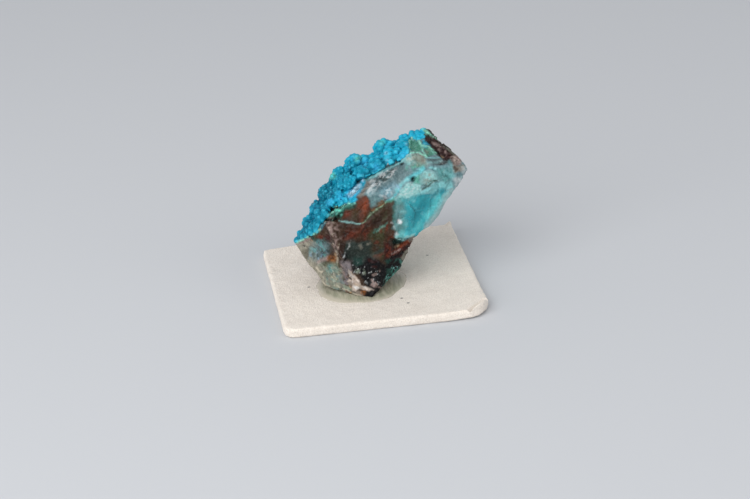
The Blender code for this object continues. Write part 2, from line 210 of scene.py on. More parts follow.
class Hue(Enum):
    """Colours of the specimen's minerals as sRGB hex, and of the painted shade, shadow, highlights and
    glints laid on them.
    """

    # Painted shade of the crust's crevices, and the painted highlight of its tips
    CRUST_PAINTED_SHADE = "02506E"
    CRUST_MID = "0C9CB9"
    CRUST_PAINTED_HIGHLIGHT = "46C4DE"
    # Pale ice blue of the quartz, also used for painted glints on the crust
    ICE_AND_PAINTED_GLINT = "8CC8DE"
    CRUST_SHADE = "066C82"
    CRUST_BRIGHT = "3CB4DE"
    # Painted shadow of the gap under the crust's upper tier
    GAP_PAINTED_SHADOW = "04202E"
    MINT = "62C2AC"
    PALE_GREEN = "7FC2AC"
    MALACHITE = "4A9884"
    FACET_GREEN = "4A8A76"
    VEIN = "7C9A7E"
    CYAN_VEIN = "5CC6CE"
    DARK_GREEN = "22443A"
    TEAL = "339AA4"
    DEEP_TEAL = "1E808C"
    PALE_TEAL = "56908F"
    BRIGHT_TEAL = "5EC0C2"
    MILKY_TEAL = "7FC0C2"
    QUARTZ = "64858A"
    QUARTZ_BLUE = "445C62"
    WHITE_QUARTZ = "C6CBCB"
    JADE = "82B4B2"
    GREY_EDGE = "55787A"
    RIM_GREY = "8FAAAA"
    CREAM = "BDB5A2"
    BONE = "B3A59A"
    LILAC_GREY = "6A6466"
    LILAC = "8CB0C8"
    GREY_BROWN = "7A7066"
    CLEAR_GREY = "8C887A"
    OLIVE = "34321F"
    MOSS = "3E402B"
    RUST = "5A2E1C"
    BRIGHT_RUST = "7C381F"
    RED = "3E2015"
    BRICK = "5C2A1C"
    DARK_RED = "341310"
    MAROON = "3A2A1F"
    PURPLE_BROWN = "33201F"
    PINK_GREY = "94807A"
    DARK_BROWN = "2B1D17"
    OCHRE = "935A2C"
    TAN = "A88C6C"
    SLATE = "29312D"
    BLACK = "101012"
    BOTTLE = "1A3A34"
    SEA_GREEN = "3C766A"
    ASH = "7C796E"
    SAGE = "818B7C"
    STEEL = "5E7476"

    def light(self) -> np.ndarray:
        """Linear red, green and blue."""
        return np.array(linear(self.value)[:3])


@dataclass(frozen=True)
class Grain:
    """Flecks that break a stain up.

    Their size is in millimetres, the stretch is their length for their width, the lie is
    their angle from the across axis in degrees, and the fill is the share that they cover.
    A soft grain has blurred flecks.
    """

    size: float
    fill: float = 0.5
    stretch: float = 1.0
    lie: float = 0.0
    soft: float = 0.2

    def cover(self, points: np.ndarray, inside: np.ndarray) -> np.ndarray:
        """Share of a fleck at each point.

        Args:
            points: display coordinates in millimetres.
            inside: whether each point is in the stain, which the fill is measured in.

        Returns:
            A share from 0 to 1 for each point.
        """
        if not inside.any():
            return np.zeros(len(points))
        lie = math.radians(self.lie)
        along = (points[:, 0] * math.cos(lie) + points[:, 1] * math.sin(lie)) / self.stretch
        sideways = points[:, 1] * math.cos(lie) - points[:, 0] * math.sin(lie)
        bent = np.column_stack([along, sideways, points[:, 2]])
        noise_value = Chance(round(self.size * 100 + self.lie)).cloud(bent, self.size, 2)
        cut = np.quantile(noise_value[inside], 1.0 - self.fill)
        return smooth_step(cut - self.soft, cut + self.soft, noise_value)


def line_distance(points: np.ndarray, start: np.ndarray, end: np.ndarray) -> np.ndarray:
    """Measure how far points lie from a straight line between two ends.

    Args:
        points: one row for each point.
        start: one end of the line.
        end: its other end.

    Returns:
        The distance of each point.
    """
    line = end - start
    share = np.clip((points - start) @ line / max(line @ line, TINY), 0.0, 1.0)
    return np.linalg.norm(points - start - share[:, None] * line, axis=1)


@dataclass(frozen=True)
class Patch:
    """A stain, vein or facet on the display side of the stone.

    Its path is across and up in millimetres. A filled patch covers the inside of the
    path; any other is a stroke of the given half width along it. The relief is how far
    it stands out of the stone, in millimetres.
    """

    hue: Hue
    path: tuple[Spot, ...]
    reach: float = 0.0
    filled: bool = False
    edge: float = 0.35
    strength: float = 1.0
    relief: float = 0.0
    grain: Grain | None = None

    def distance(self, spots: np.ndarray) -> np.ndarray:
        """Measure how far flat points lie from the patch.

        Args:
            spots: across and up in millimetres, one row for each point.

        Returns:
            The distance of each point, negative inside a filled patch.
        """
        corners = np.array(self.path)
        if len(corners) == 1:
            return np.linalg.norm(spots - corners[0], axis=1) - self.reach
        ends = np.roll(corners, -1, axis=0) if self.filled else corners[1:]
        distance = np.full(len(spots), np.inf)
        inside = np.zeros(len(spots), bool)
        for start, end in zip(corners, ends):
            distance = np.minimum(distance, line_distance(spots, start, end))
            line = end - start
            crosses = (start[1] > spots[:, 1]) != (end[1] > spots[:, 1])
            if line[1] != 0.0:
                inside ^= crosses & (spots[:, 0] < start[0] + (spots[:, 1] - start[1]) * line[0] / line[1])
        if self.filled:
            distance = np.where(inside, -distance, distance)
        return distance - self.reach

    def near(self, points: np.ndarray) -> np.ndarray:
        """Find the points in the rectangle around the patch.

        Args:
            points: display coordinates in millimetres.

        Returns:
            Whether each point lies in it.
        """
        corners = np.array(self.path)
        rim = self.reach + self.edge
        spots = points[:, :2]
        return np.all((spots > corners.min(0) - rim) & (spots < corners.max(0) + rim), axis=1)

    def cover(self, points: np.ndarray) -> np.ndarray:
        """Share of the patch at each point.

        Args:
            points: display coordinates in millimetres.

        Returns:
            A share from 0 to the patch's strength for each point.
        """
        near = self.near(points)
        close = points[near]
        share = smooth_step(self.edge, -self.edge, self.distance(close[:, :2]))
        if self.grain is not None:
            share = share * self.grain.cover(close, share > 0.5)
        total = np.zeros(len(points))
        total[near] = self.strength * share
        return total


def zone(hue: Hue, *path: Spot, **form: float | Grain | None) -> Patch:
    """Filled patch with the given outline."""
    return Patch(hue, path, filled=True, **form)


def streak(hue: Hue, width: float, *path: Spot, edge: float = 0.2, **form: float | Grain | None) -> Patch:
    """Stroke of the given width along a path, or a round spot at one point."""
    return Patch(hue, path, reach=width / 2, edge=edge, **form)


@dataclass
class Surface:
    """Points of a fine mesh as arrays, with what its relief and colours are worked out from."""

    mesh: bpy.types.Mesh
    places: np.ndarray = field(init=False)
    normals: np.ndarray = field(init=False)

    def __post_init__(self) -> None:
        """Read the mesh."""
        self.read()

    def read(self) -> None:
        """Take the points and normals from the mesh."""
        count = len(self.mesh.vertices)
        self.places = np.empty(count * 3)
        self.normals = np.empty(count * 3)
        self.mesh.vertices.foreach_get("co", self.places)
        self.mesh.vertex_normals.foreach_get("vector", self.normals)
        self.places = self.places.reshape(-1, 3)
        self.normals = self.normals.reshape(-1, 3)

    def put(self, places: np.ndarray) -> None:
        """Set the points to new places and read the mesh again.

        Args:
            places: one row for each point, in metres.
        """
        self.mesh.vertices.foreach_set("co", places.ravel())
        self.mesh.update()
        self.read()

    def shown(self) -> np.ndarray:
        """Points in display coordinates, in millimetres."""
        return AXES.shown(self.places)

    def facing(self) -> np.ndarray:
        """Normals along the display axes."""
        return AXES.turned(self.normals)

    def move(self, heights: np.ndarray, floor: float | None = None) -> None:
        """Move the points along their normals.

        Args:
            heights: distance for each point, in millimetres, outward.
            floor: lowest height that a point may have in the specimen's frame, in metres.
        """
        places = self.places + self.normals * (heights * MM)[:, None]
        if floor is not None:
            places[:, 2] = np.maximum(places[:, 2], floor)
        self.put(places)

    def averaged(self, values: np.ndarray, rounds: int) -> np.ndarray:
        """Average values over each point's neighbours, a number of times.

        Args:
            values: one row for each point.
            rounds: how often they are averaged; more rounds reach further.

        Returns:
            The averaged values.
        """
        edges = np.empty(len(self.mesh.edges) * 2, np.int64)
        self.mesh.edges.foreach_get("vertices", edges)
        first, second = edges.reshape(-1, 2).T
        count = len(self.mesh.vertices)
        degree = np.bincount(edges, minlength=count)
        for _ in range(rounds):
            columns = []
            for column in values.T:
                total = np.bincount(first, column[second], count) + np.bincount(second, column[first], count)
                columns.append(total / degree)
            values = 0.5 * values + 0.5 * np.stack(columns, axis=1)
        return values

    def hollowness(self, rounds: int, depth: float) -> np.ndarray:
        """How deep each point lies below its surroundings, from -1 on a tip to 1 in a hollow."""
        below = np.einsum("ij,ij->i", self.averaged(self.places, rounds) - self.places, self.normals)
        return np.clip(below / (depth * MM), -1.0, 1.0)

    def store(self, name: str, colours: np.ndarray) -> None:
        """Keep a linear colour for each point as an attribute of the mesh."""
        layer = self.mesh.color_attributes.new(name, "FLOAT_COLOR", "POINT")
        layer.data.foreach_set("color", np.column_stack([colours, np.ones(len(colours))]).ravel())


def blend_colour(colours: np.ndarray, hue: Hue, share: np.ndarray) -> np.ndarray:
    """Lay a colour over others by a share at each point."""
    return colours + (hue.light() - colours) * share[:, None]


def new_object(name: str, mesh: bpy.types.Mesh) -> bpy.types.Object:
    """Make an object around a mesh and link it to the scene.

    Args:
        name: name of the object.
        mesh: its mesh.

    Returns:
        The object.
    """
    obj = bpy.data.objects.new(name, mesh)
    bpy.context.scene.collection.objects.link(obj)
    return obj


def mesh_from(bm: bmesh.types.BMesh, name: str) -> bpy.types.Mesh:
    """Turn a bmesh into a mesh and free it.

    Args:
        bm: the bmesh.
        name: name of the mesh.

    Returns:
        The mesh.
    """
    mesh = bpy.data.meshes.new(name)
    bm.to_mesh(mesh)
    bm.free()
    return mesh


def search_tree(mesh: bpy.types.Mesh) -> BVHTree:
    """Search tree of a mesh's faces."""
    points = [vert.co for vert in mesh.vertices]
    return BVHTree.FromPolygons(points, [face.vertices for face in mesh.polygons])


def evaluated_mesh(obj: bpy.types.Object) -> bpy.types.Mesh:
    """Apply an object's modifiers and remove the object.

    Args:
        obj: the object.

    Returns:
        Its mesh with the modifiers applied.
    """
    bpy.context.view_layer.update()
    mesh = bpy.data.meshes.new_from_object(obj.evaluated_get(bpy.context.evaluated_depsgraph_get()))
    bpy.data.objects.remove(obj)
    return mesh


def fused(mesh: bpy.types.Mesh, cell: float) -> bpy.types.Mesh:
    """One even, closed mesh around a mesh's overlapping bodies.

    Args:
        mesh: closed bodies that may overlap.
        cell: width of the cells of the new mesh, in millimetres.

    Returns:
        The fused mesh.
    """
    rough = new_object("rough", mesh)
    fuse = rough.modifiers.new("fuse", "REMESH")
    fuse.mode = "VOXEL"
    fuse.voxel_size = cell * MM
    return evaluated_mesh(rough)


def add_hull(bm: bmesh.types.BMesh, corners: tuple[Point, ...]) -> None:
    """Add the closed convex block around a set of corners.

    Args:
        bm: bmesh that takes the block.
        corners: display coordinates in millimetres.
    """
    block = bmesh.new()
    for corner in corners:
        block.verts.new(AXES.place(*corner))
    result = bmesh.ops.convex_hull(block, input=block.verts)
    inner = set(result["geom_interior"]) | set(result["geom_unused"])
    bmesh.ops.delete(block, geom=[item for item in inner if isinstance(item, bmesh.types.BMVert)])
    part = mesh_from(block, "block")
    bm.from_mesh(part)
    bpy.data.meshes.remove(part)


def balls_mesh(centres: np.ndarray, radii: np.ndarray, turned: Matrix, flatness: float) -> bpy.types.Mesh:
    """Many balls in one mesh, each flattened along one direction.

    Args:
        centres: one row of three for each ball, in metres.
        radii: one for each ball, in metres.
        turned: rotation whose Z is the direction of the flattening.
        flatness: height of a ball as a share of its width.

    Returns:
        The mesh of all the balls.
    """
    pattern = bmesh.new()
    shape = turned.to_4x4() @ Matrix.Diagonal((1.0, 1.0, flatness, 1.0))
    bmesh.ops.create_icosphere(pattern, subdivisions=2, radius=1.0, matrix=shape)
    points = np.array([vert.co for vert in pattern.verts])
    faces = np.array([[vert.index for vert in face.verts] for face in pattern.faces])
    pattern.free()
    all_points = centres[:, None, :] + points[None, :, :] * radii[:, None, None]
    offsets = (np.arange(len(centres)) * len(points))[:, None, None]
    mesh = bpy.data.meshes.new("balls")
    all_faces = (faces[None, :, :] + offsets).reshape(-1, 3)
    mesh.from_pydata(all_points.reshape(-1, 3).tolist(), [], all_faces.tolist())
    return mesh


def joined(parts: list[bpy.types.Mesh]) -> bpy.types.Mesh:
    """Join the bodies of several meshes.

    Args:
        parts: the meshes.

    Returns:
        One mesh with all their bodies.
    """
    bm = bmesh.new()
    for part in parts:
        bm.from_mesh(part)
    bmesh.ops.recalc_face_normals(bm, faces=bm.faces)
    return mesh_from(bm, "joined")


def add_node(
    tree: bpy.types.NodeTree,
    kind: str,
    settings: dict[str, object] | None = None,
    values: dict[str | int, object] | None = None,
    links: dict[str | int, bpy.types.NodeSocket] | None = None,
) -> bpy.types.Node:
    """Add one node with its settings and links.

    Args:
        tree: node tree that takes the node.
        kind: Blender's name for the node's type.
        settings: the node's own properties.
        values: values for inputs, by name or place.
        links: output sockets of other nodes for inputs, by name or place.

    Returns:
        The new node.
    """
    node = tree.nodes.new(kind)
    for name, value in (settings or {}).items():
        setattr(node, name, value)
    for name, value in (values or {}).items():
        node.inputs[name].default_value = value
    for name, socket in (links or {}).items():
        tree.links.new(socket, node.inputs[name])
    return node


def new_tree(name: str) -> tuple[bpy.types.Material, bpy.types.NodeTree]:
    """Make an empty node material.

    Args:
        name: name of the material.

    Returns:
        The material and its node tree.
    """
    material = bpy.data.materials.new(name)
    material.use_nodes = True
    material.node_tree.nodes.clear()
    return material, material.node_tree


class MixSocket(IntEnum):
    """Places of the sockets of a colour Mix node."""

    FACTOR = 0
    FIRST = 6
    SECOND = 7
    RESULT = 2


@dataclass(frozen=True)
class StoneFinish:
    """Finish of a mineral surface that carries its stains in the paint attribute.

    Sizes are in millimetres. Speckle lightens and darkens the paint; grain is relief.
    """

    name: str
    roughness: float
    roughness_spread: float
    speckle_size: float
    speckle_dark: float
    speckle_light: float
    grain_size: float
    grain_height: float
    pit_size: float
    pit_height: float
    ior: float = 1.54
    subsurface: float = 0.0
    subsurface_reach: float = 1.0
    subsurface_tint: tuple[float, float, float] = (0.6, 1.0, 1.0)
    shine: float = 0.5
    dark_grain: str = "818186"
    pale_grain: str = "C4C8C5"

    def make(self) -> bpy.types.Material:
        """Build the finish as a node material.

        Returns:
            The material.
        """
        material, tree = new_tree(self.name)
        place = add_node(tree, "ShaderNodeTexCoord").outputs["Object"]
        paint = add_node(tree, "ShaderNodeAttribute", {"attribute_name": "paint"}).outputs["Color"]
        grains = add_node(
            tree, "ShaderNodeTexNoise", None,
            {"Scale": 1.0 / (self.speckle_size * MM), "Detail": 3.0, "Roughness": 0.65}, {"Vector": place},
        )
        darker = add_node(
            tree, "ShaderNodeMapRange", None,
            {"From Min": 0.52, "From Max": 0.34, "To Min": 0.0, "To Max": self.speckle_dark},
            {"Value": grains.outputs["Fac"]},
        )
        lighter = add_node(
            tree, "ShaderNodeMapRange", None,
            {"From Min": 0.56, "From Max": 0.72, "To Min": 0.0, "To Max": self.speckle_light},
            {"Value": grains.outputs["Fac"]},
        )
        shaded = add_node(
            tree, "ShaderNodeMix", {"data_type": "RGBA", "blend_type": "MULTIPLY"},
            {MixSocket.SECOND: linear(self.dark_grain)},
            {MixSocket.FACTOR: darker.outputs["Result"], MixSocket.FIRST: paint},
        )
        lit = add_node(
            tree, "ShaderNodeMix", {"data_type": "RGBA", "blend_type": "SCREEN"},
            {MixSocket.SECOND: linear(self.pale_grain)},
            {MixSocket.FACTOR: lighter.outputs["Result"], MixSocket.FIRST: shaded.outputs[MixSocket.RESULT]},
        )
        dull = add_node(
            tree, "ShaderNodeMapRange", None,
            {
                "From Min": 0.35, "From Max": 0.65,
                "To Min": self.roughness - self.roughness_spread,
                "To Max": self.roughness + self.roughness_spread,
            },
            {"Value": grains.outputs["Fac"]},
        )
        pits = add_node(
            tree, "ShaderNodeTexVoronoi", None, {"Scale": 1.0 / (self.pit_size * MM)}, {"Vector": place},
        )
        pit_bump = add_node(
            tree, "ShaderNodeBump", None, {"Strength": 1.0, "Distance": self.pit_height * MM},
            {"Height": pits.outputs["Distance"]},
        )
        grain = add_node(
            tree, "ShaderNodeTexNoise", None,
            {"Scale": 1.0 / (self.grain_size * MM), "Detail": 4.0, "Roughness": 0.6}, {"Vector": place},
        )
        bump = add_node(
            tree, "ShaderNodeBump", None, {"Strength": 1.0, "Distance": self.grain_height * MM},
            {"Height": grain.outputs["Fac"], "Normal": pit_bump.outputs["Normal"]},
        )
        shader = add_node(
            tree, "ShaderNodeBsdfPrincipled", None,
            {
                "IOR": self.ior,
                "Subsurface Weight": self.subsurface,
                "Subsurface Scale": self.subsurface_reach * MM,
                "Subsurface Radius": self.subsurface_tint,
                "Specular IOR Level": self.shine,
            },
            {
                "Base Color": lit.outputs[MixSocket.RESULT],
                "Roughness": dull.outputs["Result"],
                "Normal": bump.outputs["Normal"],
            },
        )
        add_node(tree, "ShaderNodeOutputMaterial", None, None, {"Surface": shader.outputs["BSDF"]})
        return material


# Iron-stained copper ore: a hackly break, crumbly and dull in its hollows, with fine dark and
# pale grains in every colour and small fresh faces that catch the light.
ORE_FINISH = StoneFinish(
    name="iron_stained_copper_ore",
    roughness=0.42, roughness_spread=0.18,
    speckle_size=0.5, speckle_dark=0.5, speckle_light=0.1,
    grain_size=0.4, grain_height=0.09, pit_size=0.6, pit_height=0.05,
    shine=0.12,
)

# Iron-stained quartz: rust and copper ore seen through a glassy, fairly even break, so its
# colours run into each other in soft streaks.
JASPER_FINISH = StoneFinish(
    name="iron_stained_quartz",
    roughness=0.30, roughness_spread=0.10,
    speckle_size=0.6, speckle_dark=0.3, speckle_light=0.05,
    grain_size=0.5, grain_height=0.04, pit_size=1.4, pit_height=0.04,
    shine=0.1,
)

# Teal chalcedony: a conchoidal break with a waxy gloss; light sinks into it, so its colour
# is milky and even, with soft clouds inside.
CHALCEDONY_FINISH = StoneFinish(
    name="teal_chalcedony",
    roughness=0.24, roughness_spread=0.08,
    speckle_size=1.6, speckle_dark=0.16, speckle_light=0.12,
    grain_size=0.9, grain_height=0.10, pit_size=1.9, pit_height=0.12,
    shine=0.25, subsurface=0.35, subsurface_reach=1.6, subsurface_tint=(0.45, 0.9, 1.0),
)

# Milky quartz: a glassy, uneven break full of fine cracks, white where they scatter light
# and grey where it is clear.
QUARTZ_FINISH = StoneFinish(
    name="milky_quartz",
    roughness=0.30, roughness_spread=0.14,
    speckle_size=0.8, speckle_dark=0.20, speckle_light=0.18,
    grain_size=0.5, grain_height=0.12, pit_size=1.1, pit_height=0.14,
    shine=0.2, subsurface=0.2, subsurface_reach=0.9, subsurface_tint=(0.9, 1.0, 1.0),
)

# Chrysocolla crust: grown as tiny grapes with a silky, dull skin; a little light sinks in.
CRUST_FINISH = StoneFinish(
    name="botryoidal_chrysocolla",
    roughness=0.45, roughness_spread=0.12,
    speckle_size=0.4, speckle_dark=0.18, speckle_light=0.08,
    grain_size=0.25, grain_height=0.04, pit_size=0.28, pit_height=0.05,
    ior=1.46, shine=0.12, subsurface=0.2, subsurface_reach=0.6, subsurface_tint=(0.2, 0.9, 1.0),
)


class StoneSlot(IntEnum):
    """Places of the broken stone's materials on its mesh."""

    ORE = 0
    JASPER = 1
    CHALCEDONY = 2
    QUARTZ = 3


# The broken stone's stains and facets on its foot, larger ones first, with painted shadow in two grooves and
# painted highlights on the ledge and along a raised seam
FOOT_MARKS = (
    zone(Hue.MAROON, (-13, 14.5), (-10.5, 18), (-4, 22), (-1, 26.5), (6, 24), (6.3, 18), (7, 13), (11, 13),
        (8, 6), (0, -2), (-8, 4), (-13, 9)),
    zone(Hue.CLEAR_GREY, (-20, 12.4), (-15.4, 13.6), (-13.4, 12.6), (-13.6, 8.2), (-12, 7), (-12.6, 4),
        (-9, 1), (-13, -1), (-20, 9)),
    zone(Hue.OLIVE, (-17.4, 10.4), (-15, 11), (-14.6, 8.6), (-16.4, 8), edge=0.8, strength=0.5),
    zone(Hue.STEEL, (-15, 10.8), (-14, 13), (-10.6, 13), (-9.4, 12), (-9.6, 10.2), (-12.6, 7.4), (-14.6, 8),
        edge=1, strength=0.75),
    zone(Hue.SLATE, (-15, 9), (-13.8, 14), (-9.6, 13.6), (-8.6, 9.6), (-11, 8),
        grain=Grain(1.3, 0.3, soft=0.2), strength=0.7, edge=0.8),
    zone(Hue.LILAC, (-15.4, 8.4), (-14, 12.8), (-10.6, 11.4), (-11.4, 7.4),
        grain=Grain(0.75, 0.2, soft=0.15), strength=0.35, edge=0.8),
    zone(Hue.PALE_TEAL, (-15.4, 8.4), (-14, 13), (-9.6, 12.8), (-11.6, 7.4),
        grain=Grain(1, 0.25, soft=0.15), strength=0.6, edge=0.8),
    zone(Hue.MAROON, (-13.6, 14.2), (-10, 14.6), (-8, 12), (-9.4, 9.8), (-11, 12.4), grain=Grain(0.8, 0.35),
        strength=0.7, edge=0.8),
    zone(Hue.SAGE, (-12.8, 7.2), (-8.4, 7.2), (-7, 5), (-7.4, 2.4), (-5.8, -0.6), (-10, 0.4), (-12.4, 4),
        edge=0.8, strength=0.8),
    zone(Hue.PALE_TEAL, (-12, 5.8), (-8.4, 6.2), (-7.4, 2.6), (-10.6, 1.6),
        grain=Grain(1, 0.4, 1.5, -58, 0.35), strength=0.4),
    zone(Hue.CREAM, (-12.6, 6.4), (-8, 7), (-6.4, 2), (-11, 1), grain=Grain(0.5, 0.1, 1.8, -58, 0.15),
        strength=0.4),
    zone(Hue.ASH, (-13, 7), (-7, 7.4), (-6, 1), (-12, 1), grain=Grain(0.7, 0.3, 2.4, -55, 0.2),
        strength=0.8),
    zone(Hue.STEEL, (-12, 4), (-7, 4.6), (-5, 0), (-11, 0.6), grain=Grain(0.6, 0.2, 1.6, -50),
        strength=0.6),
    zone(Hue.MOSS, (-12.4, 8), (-7.4, 7.2), (-7, 6), (-12.4, 6.6), edge=0.6, strength=0.5),
    zone(Hue.LILAC_GREY, (-7.2, 7.6), (-4.6, 7.6), (-4.4, 5), (-5.6, 4.2), (-6.8, 5.4), edge=0.5),
    zone(Hue.LILAC_GREY, (-6.8, 5.6), (-5, 4.6), (-5.2, 1.4), (-6.6, 0), (-7.4, 2), edge=0.8,
        grain=Grain(1, 0.5, 1.6, -60)),
    zone(Hue.PINK_GREY, (-7.6, 7), (-4.8, 7), (-5.2, 3), (-7.4, 3), grain=Grain(0.7, 0.2, 2.2, -50),
        strength=0.5),
    zone(Hue.PINK_GREY, (-11, 17.8), (-8.4, 17.9), (-6.8, 16), (-6.6, 12.6), (-7.4, 9.4), (-8.8, 9.4),
        (-10, 13), strength=0.6, grain=Grain(0.8, 0.5, 1.6, -65, 0.4), edge=0.9),
    # Partly cream flecks and partly a painted highlight along the raised seam
    zone(Hue.CREAM, (-10.8, 17.6), (-8, 17.4), (-7, 10), (-8.2, 10), (-9.6, 13), strength=0.34,
        grain=Grain(0.45, 0.1, 1.3, -65, 0.12)),
    zone(Hue.RED, (-7.4, 16.9), (-3, 16.8), (-0.8, 18.6), (1, 18.8), (0.8, 15.6), (-0.8, 13.6), (-2, 12.8),
        (-6.4, 12.6), edge=0.7),
    zone(Hue.DARK_BROWN, (-7, 16.2), (-3.6, 16.4), (-3, 13.6), (-6, 13.2), edge=0.7,
        grain=Grain(2.4, 0.6, 2, 60, 0.5)),
    zone(Hue.BRICK, (-2.8, 14.4), (-1, 18), (0.8, 18.8), (0.6, 15), (-1.2, 13.2), edge=0.7,
        grain=Grain(2.2, 0.6, 2.5, 65, 0.5)),
    zone(Hue.BRICK, (-7, 15.6), (-3, 14.8), (-3.6, 12.8), (-6, 12.8), edge=0.6,
        grain=Grain(1.6, 0.4, 2, 60, 0.4)),
    zone(Hue.SLATE, (-5.6, 12.8), (-3, 13), (0.8, 12.8), (1.6, 9.2), (0, 7.4), (-2.6, 6), (-4.6, 7.4),
        (-6.4, 9)),
    zone(Hue.BOTTLE, (-4.4, 8.4), (-1.6, 8.6), (-1.6, 6.4), (-3.8, 6.4), edge=0.6, strength=0.7),
    zone(Hue.ASH, (-5, 12.6), (0.6, 12.4), (1, 9.6), (-4.6, 9.6), grain=Grain(0.8, 0.12), strength=0.55),
    zone(Hue.DARK_BROWN, (-7.4, 12.8), (-5.4, 12.8), (-6, 10), (-7, 8.4), (-7.6, 10)),
    zone(Hue.MAROON, (-8, 16.8), (0.8, 17.4), (0.6, 12.6), (-7, 12.4), edge=0.6, strength=0.85,
        grain=Grain(1.5, 0.42, 2.2, 60, 0.4)),
    zone(Hue.DARK_BROWN, (-7.4, 16.8), (0.4, 18), (0.6, 12.4), (-6.6, 12.4), edge=0.6, strength=0.7,
        grain=Grain(0.8, 0.25, 2.4, 55, 0.3)),
    zone(Hue.OLIVE, (0.2, 15.6), (3.8, 15.8), (4.2, 12.6), (3.4, 8.6), (0.8, 9), (0.4, 12), edge=0.9,
        strength=0.9),
    zone(Hue.MAROON, (0.8, 12.8), (4, 12.6), (3.6, 9.8), (0.8, 10.2), edge=0.6,
        grain=Grain(1.6, 0.65, 2, 60, 0.4)),
    zone(Hue.MOSS, (0.4, 15.4), (3.4, 15.4), (3.4, 12), (0.4, 12.4), grain=Grain(0.9, 0.35, 2, 30, 0.3),
        edge=0.8, strength=0.7),
    zone(Hue.BRICK, (0.6, 15.8), (3.6, 15.6), (4.2, 9), (1, 9), grain=Grain(0.8, 0.2, 2, 60, 0.25),
        edge=0.6, strength=0.7),
    zone(Hue.SLATE, (0.2, 12.6), (4, 12.4), (4, 8.6), (0.4, 8.6), grain=Grain(0.9, 0.4, 1.5, 60, 0.3),
        edge=0.8, strength=0.8),
    zone(Hue.DARK_BROWN, (-0.2, 19.6), (4.4, 21.8), (5.6, 20.6), (5.6, 18.2), (3.9, 17.2), (0.8, 16.6),
        (0, 17.4), strength=0.8, edge=0.6),
    zone(Hue.MAROON, (1, 19.8), (4.6, 21.4), (5.5, 20.4), (5.4, 18.4), (3.8, 17.4), (1.6, 17), strength=0.9,
        grain=Grain(2.2, 0.65, 2.5, 62, 0.5), edge=0.5),
    zone(Hue.MOSS, (0.6, 19.6), (5, 21.6), (5.2, 18.2), (1, 16.8), grain=Grain(1.2, 0.25, 3, 60, 0.3),
        strength=0.6),
    zone(Hue.MAROON, (3.8, 17.2), (5.8, 17.4), (6.2, 14), (5.6, 12.2), (3.8, 12.6), edge=0.6),
    zone(Hue.BRICK, (3.9, 17), (5.7, 17.2), (6, 13), (4, 12.6), grain=Grain(1.4, 0.5, 2, 80, 0.4),
        strength=0.7),
    zone(Hue.RUST, (-3.6, 22.4), (-2.2, 23.2), (-1.6, 24), (-0.2, 23.8), (0.2, 22), (0.4, 20.4), (-1, 18.2),
        (-1.6, 17.5), (-4, 17.8), (-6.2, 18.4), (-6, 20.4), (-4, 21), edge=0.6),
    zone(Hue.BRIGHT_RUST, (-3.2, 22.6), (-1, 23.6), (0, 21.6), (-1, 20.2), (-2.8, 20.4), edge=0.7,
        grain=Grain(2.2, 0.6, 2.4, 65, 0.5), strength=0.8),
    zone(Hue.DARK_BROWN, (-5, 20.8), (-2.6, 21), (-1.4, 18.4), (-3, 17.6), (-6, 18), edge=0.6,
        grain=Grain(2, 0.6, 2, 60, 0.5), strength=0.75),
    zone(Hue.DARK_GREEN, (-8.8, 21), (-5, 21.8), (-3.6, 21.2), (-6.2, 20.2), (-6.6, 18), (-8.6, 18.2),
        edge=0.5),
    zone(Hue.OLIVE, (-4.6, 20.8), (-3, 20.6), (-3, 18), (-4.8, 18), edge=0.6, strength=0.7),
    zone(Hue.GREY_EDGE, (-0.2, 24.4), (3.4, 24.8), (3.8, 22.8), (0.9, 20.8), (0.2, 22), edge=0.5),
    zone(Hue.QUARTZ_BLUE, (0.2, 24), (3, 24.6), (3, 22.4), (0.8, 21.6), grain=Grain(1.2, 0.4),
        strength=0.6),
    zone(Hue.BLACK, (-4.6, 7.4), (-3, 6.4), (-1.4, 7.6), (-0.6, 8.8), (2.2, 8.4), (4.6, 5.8), (3.8, 1.6),
        (0.8, -1.4), (-1.6, -1), (-0.6, 1.2), (-2.4, 4.6), (-4, 5.2)),
    zone(Hue.BLACK, (-6.8, 9.4), (-5.6, 9.6), (-5.4, 8), (-6.6, 7)),
    zone(Hue.DARK_RED, (-0.8, 8.4), (2, 8.2), (1.6, 6), (-0.8, 6.4), grain=Grain(1.2, 0.5), strength=0.6),
    zone(Hue.BOTTLE, (2.6, 1.2), (4.4, 5.4), (3.6, 8.2), (6, 9), (9.2, 9.8), (9.4, 7.4), (5, 1.6)),
    zone(Hue.BLACK, (2.4, 1.4), (4, 7), (7, 9), (9, 9), (6.6, 4.4), (3.6, 1), grain=Grain(1.1, 0.55)),
    zone(Hue.SEA_GREEN, (2.6, 1), (5, 6), (8.8, 9), (7.6, 4.8), (4, 0.8), grain=Grain(0.6, 0.25, 2, 50),
        strength=0.8),
    zone(Hue.JADE, (3, 1.6), (5.4, 6.6), (8, 8.8), (7.4, 5.4), (4.2, 1.4), grain=Grain(0.4, 0.1, soft=0.12),
        strength=0.8),
    zone(Hue.ASH, (7.4, 9), (9.4, 11), (10.4, 10.6), (8.6, 7.2), edge=0.5),
    zone(Hue.WHITE_QUARTZ, (-4.4, 7.4), (-1.6, 6.8), (1.6, 5.6), (2.6, 2), (-0.8, 2.2), (-2.2, 3.2),
        (-3.8, 5), grain=Grain(0.4, 0.1, soft=0.1), strength=0.6, edge=0.6),
    zone(Hue.SAGE, (-3.4, 5.8), (-1.4, 5.8), (-1.2, 4.4), (-3, 4.6), grain=Grain(0.7, 0.5, soft=0.15),
        strength=0.8),
    zone(Hue.PINK_GREY, (0, 5.4), (2.6, 5), (2.4, 0.8), (0, 1.6), grain=Grain(0.8, 0.3, 1.6, -70),
        strength=0.8),
    zone(Hue.BONE, (-5.2, 5.9), (-4.5, 5.4), (-3.4, 3.9), (-2.3, 2.3), (-0.9, 1.2), (0.8, 0.6), (-0.6, 0.3),
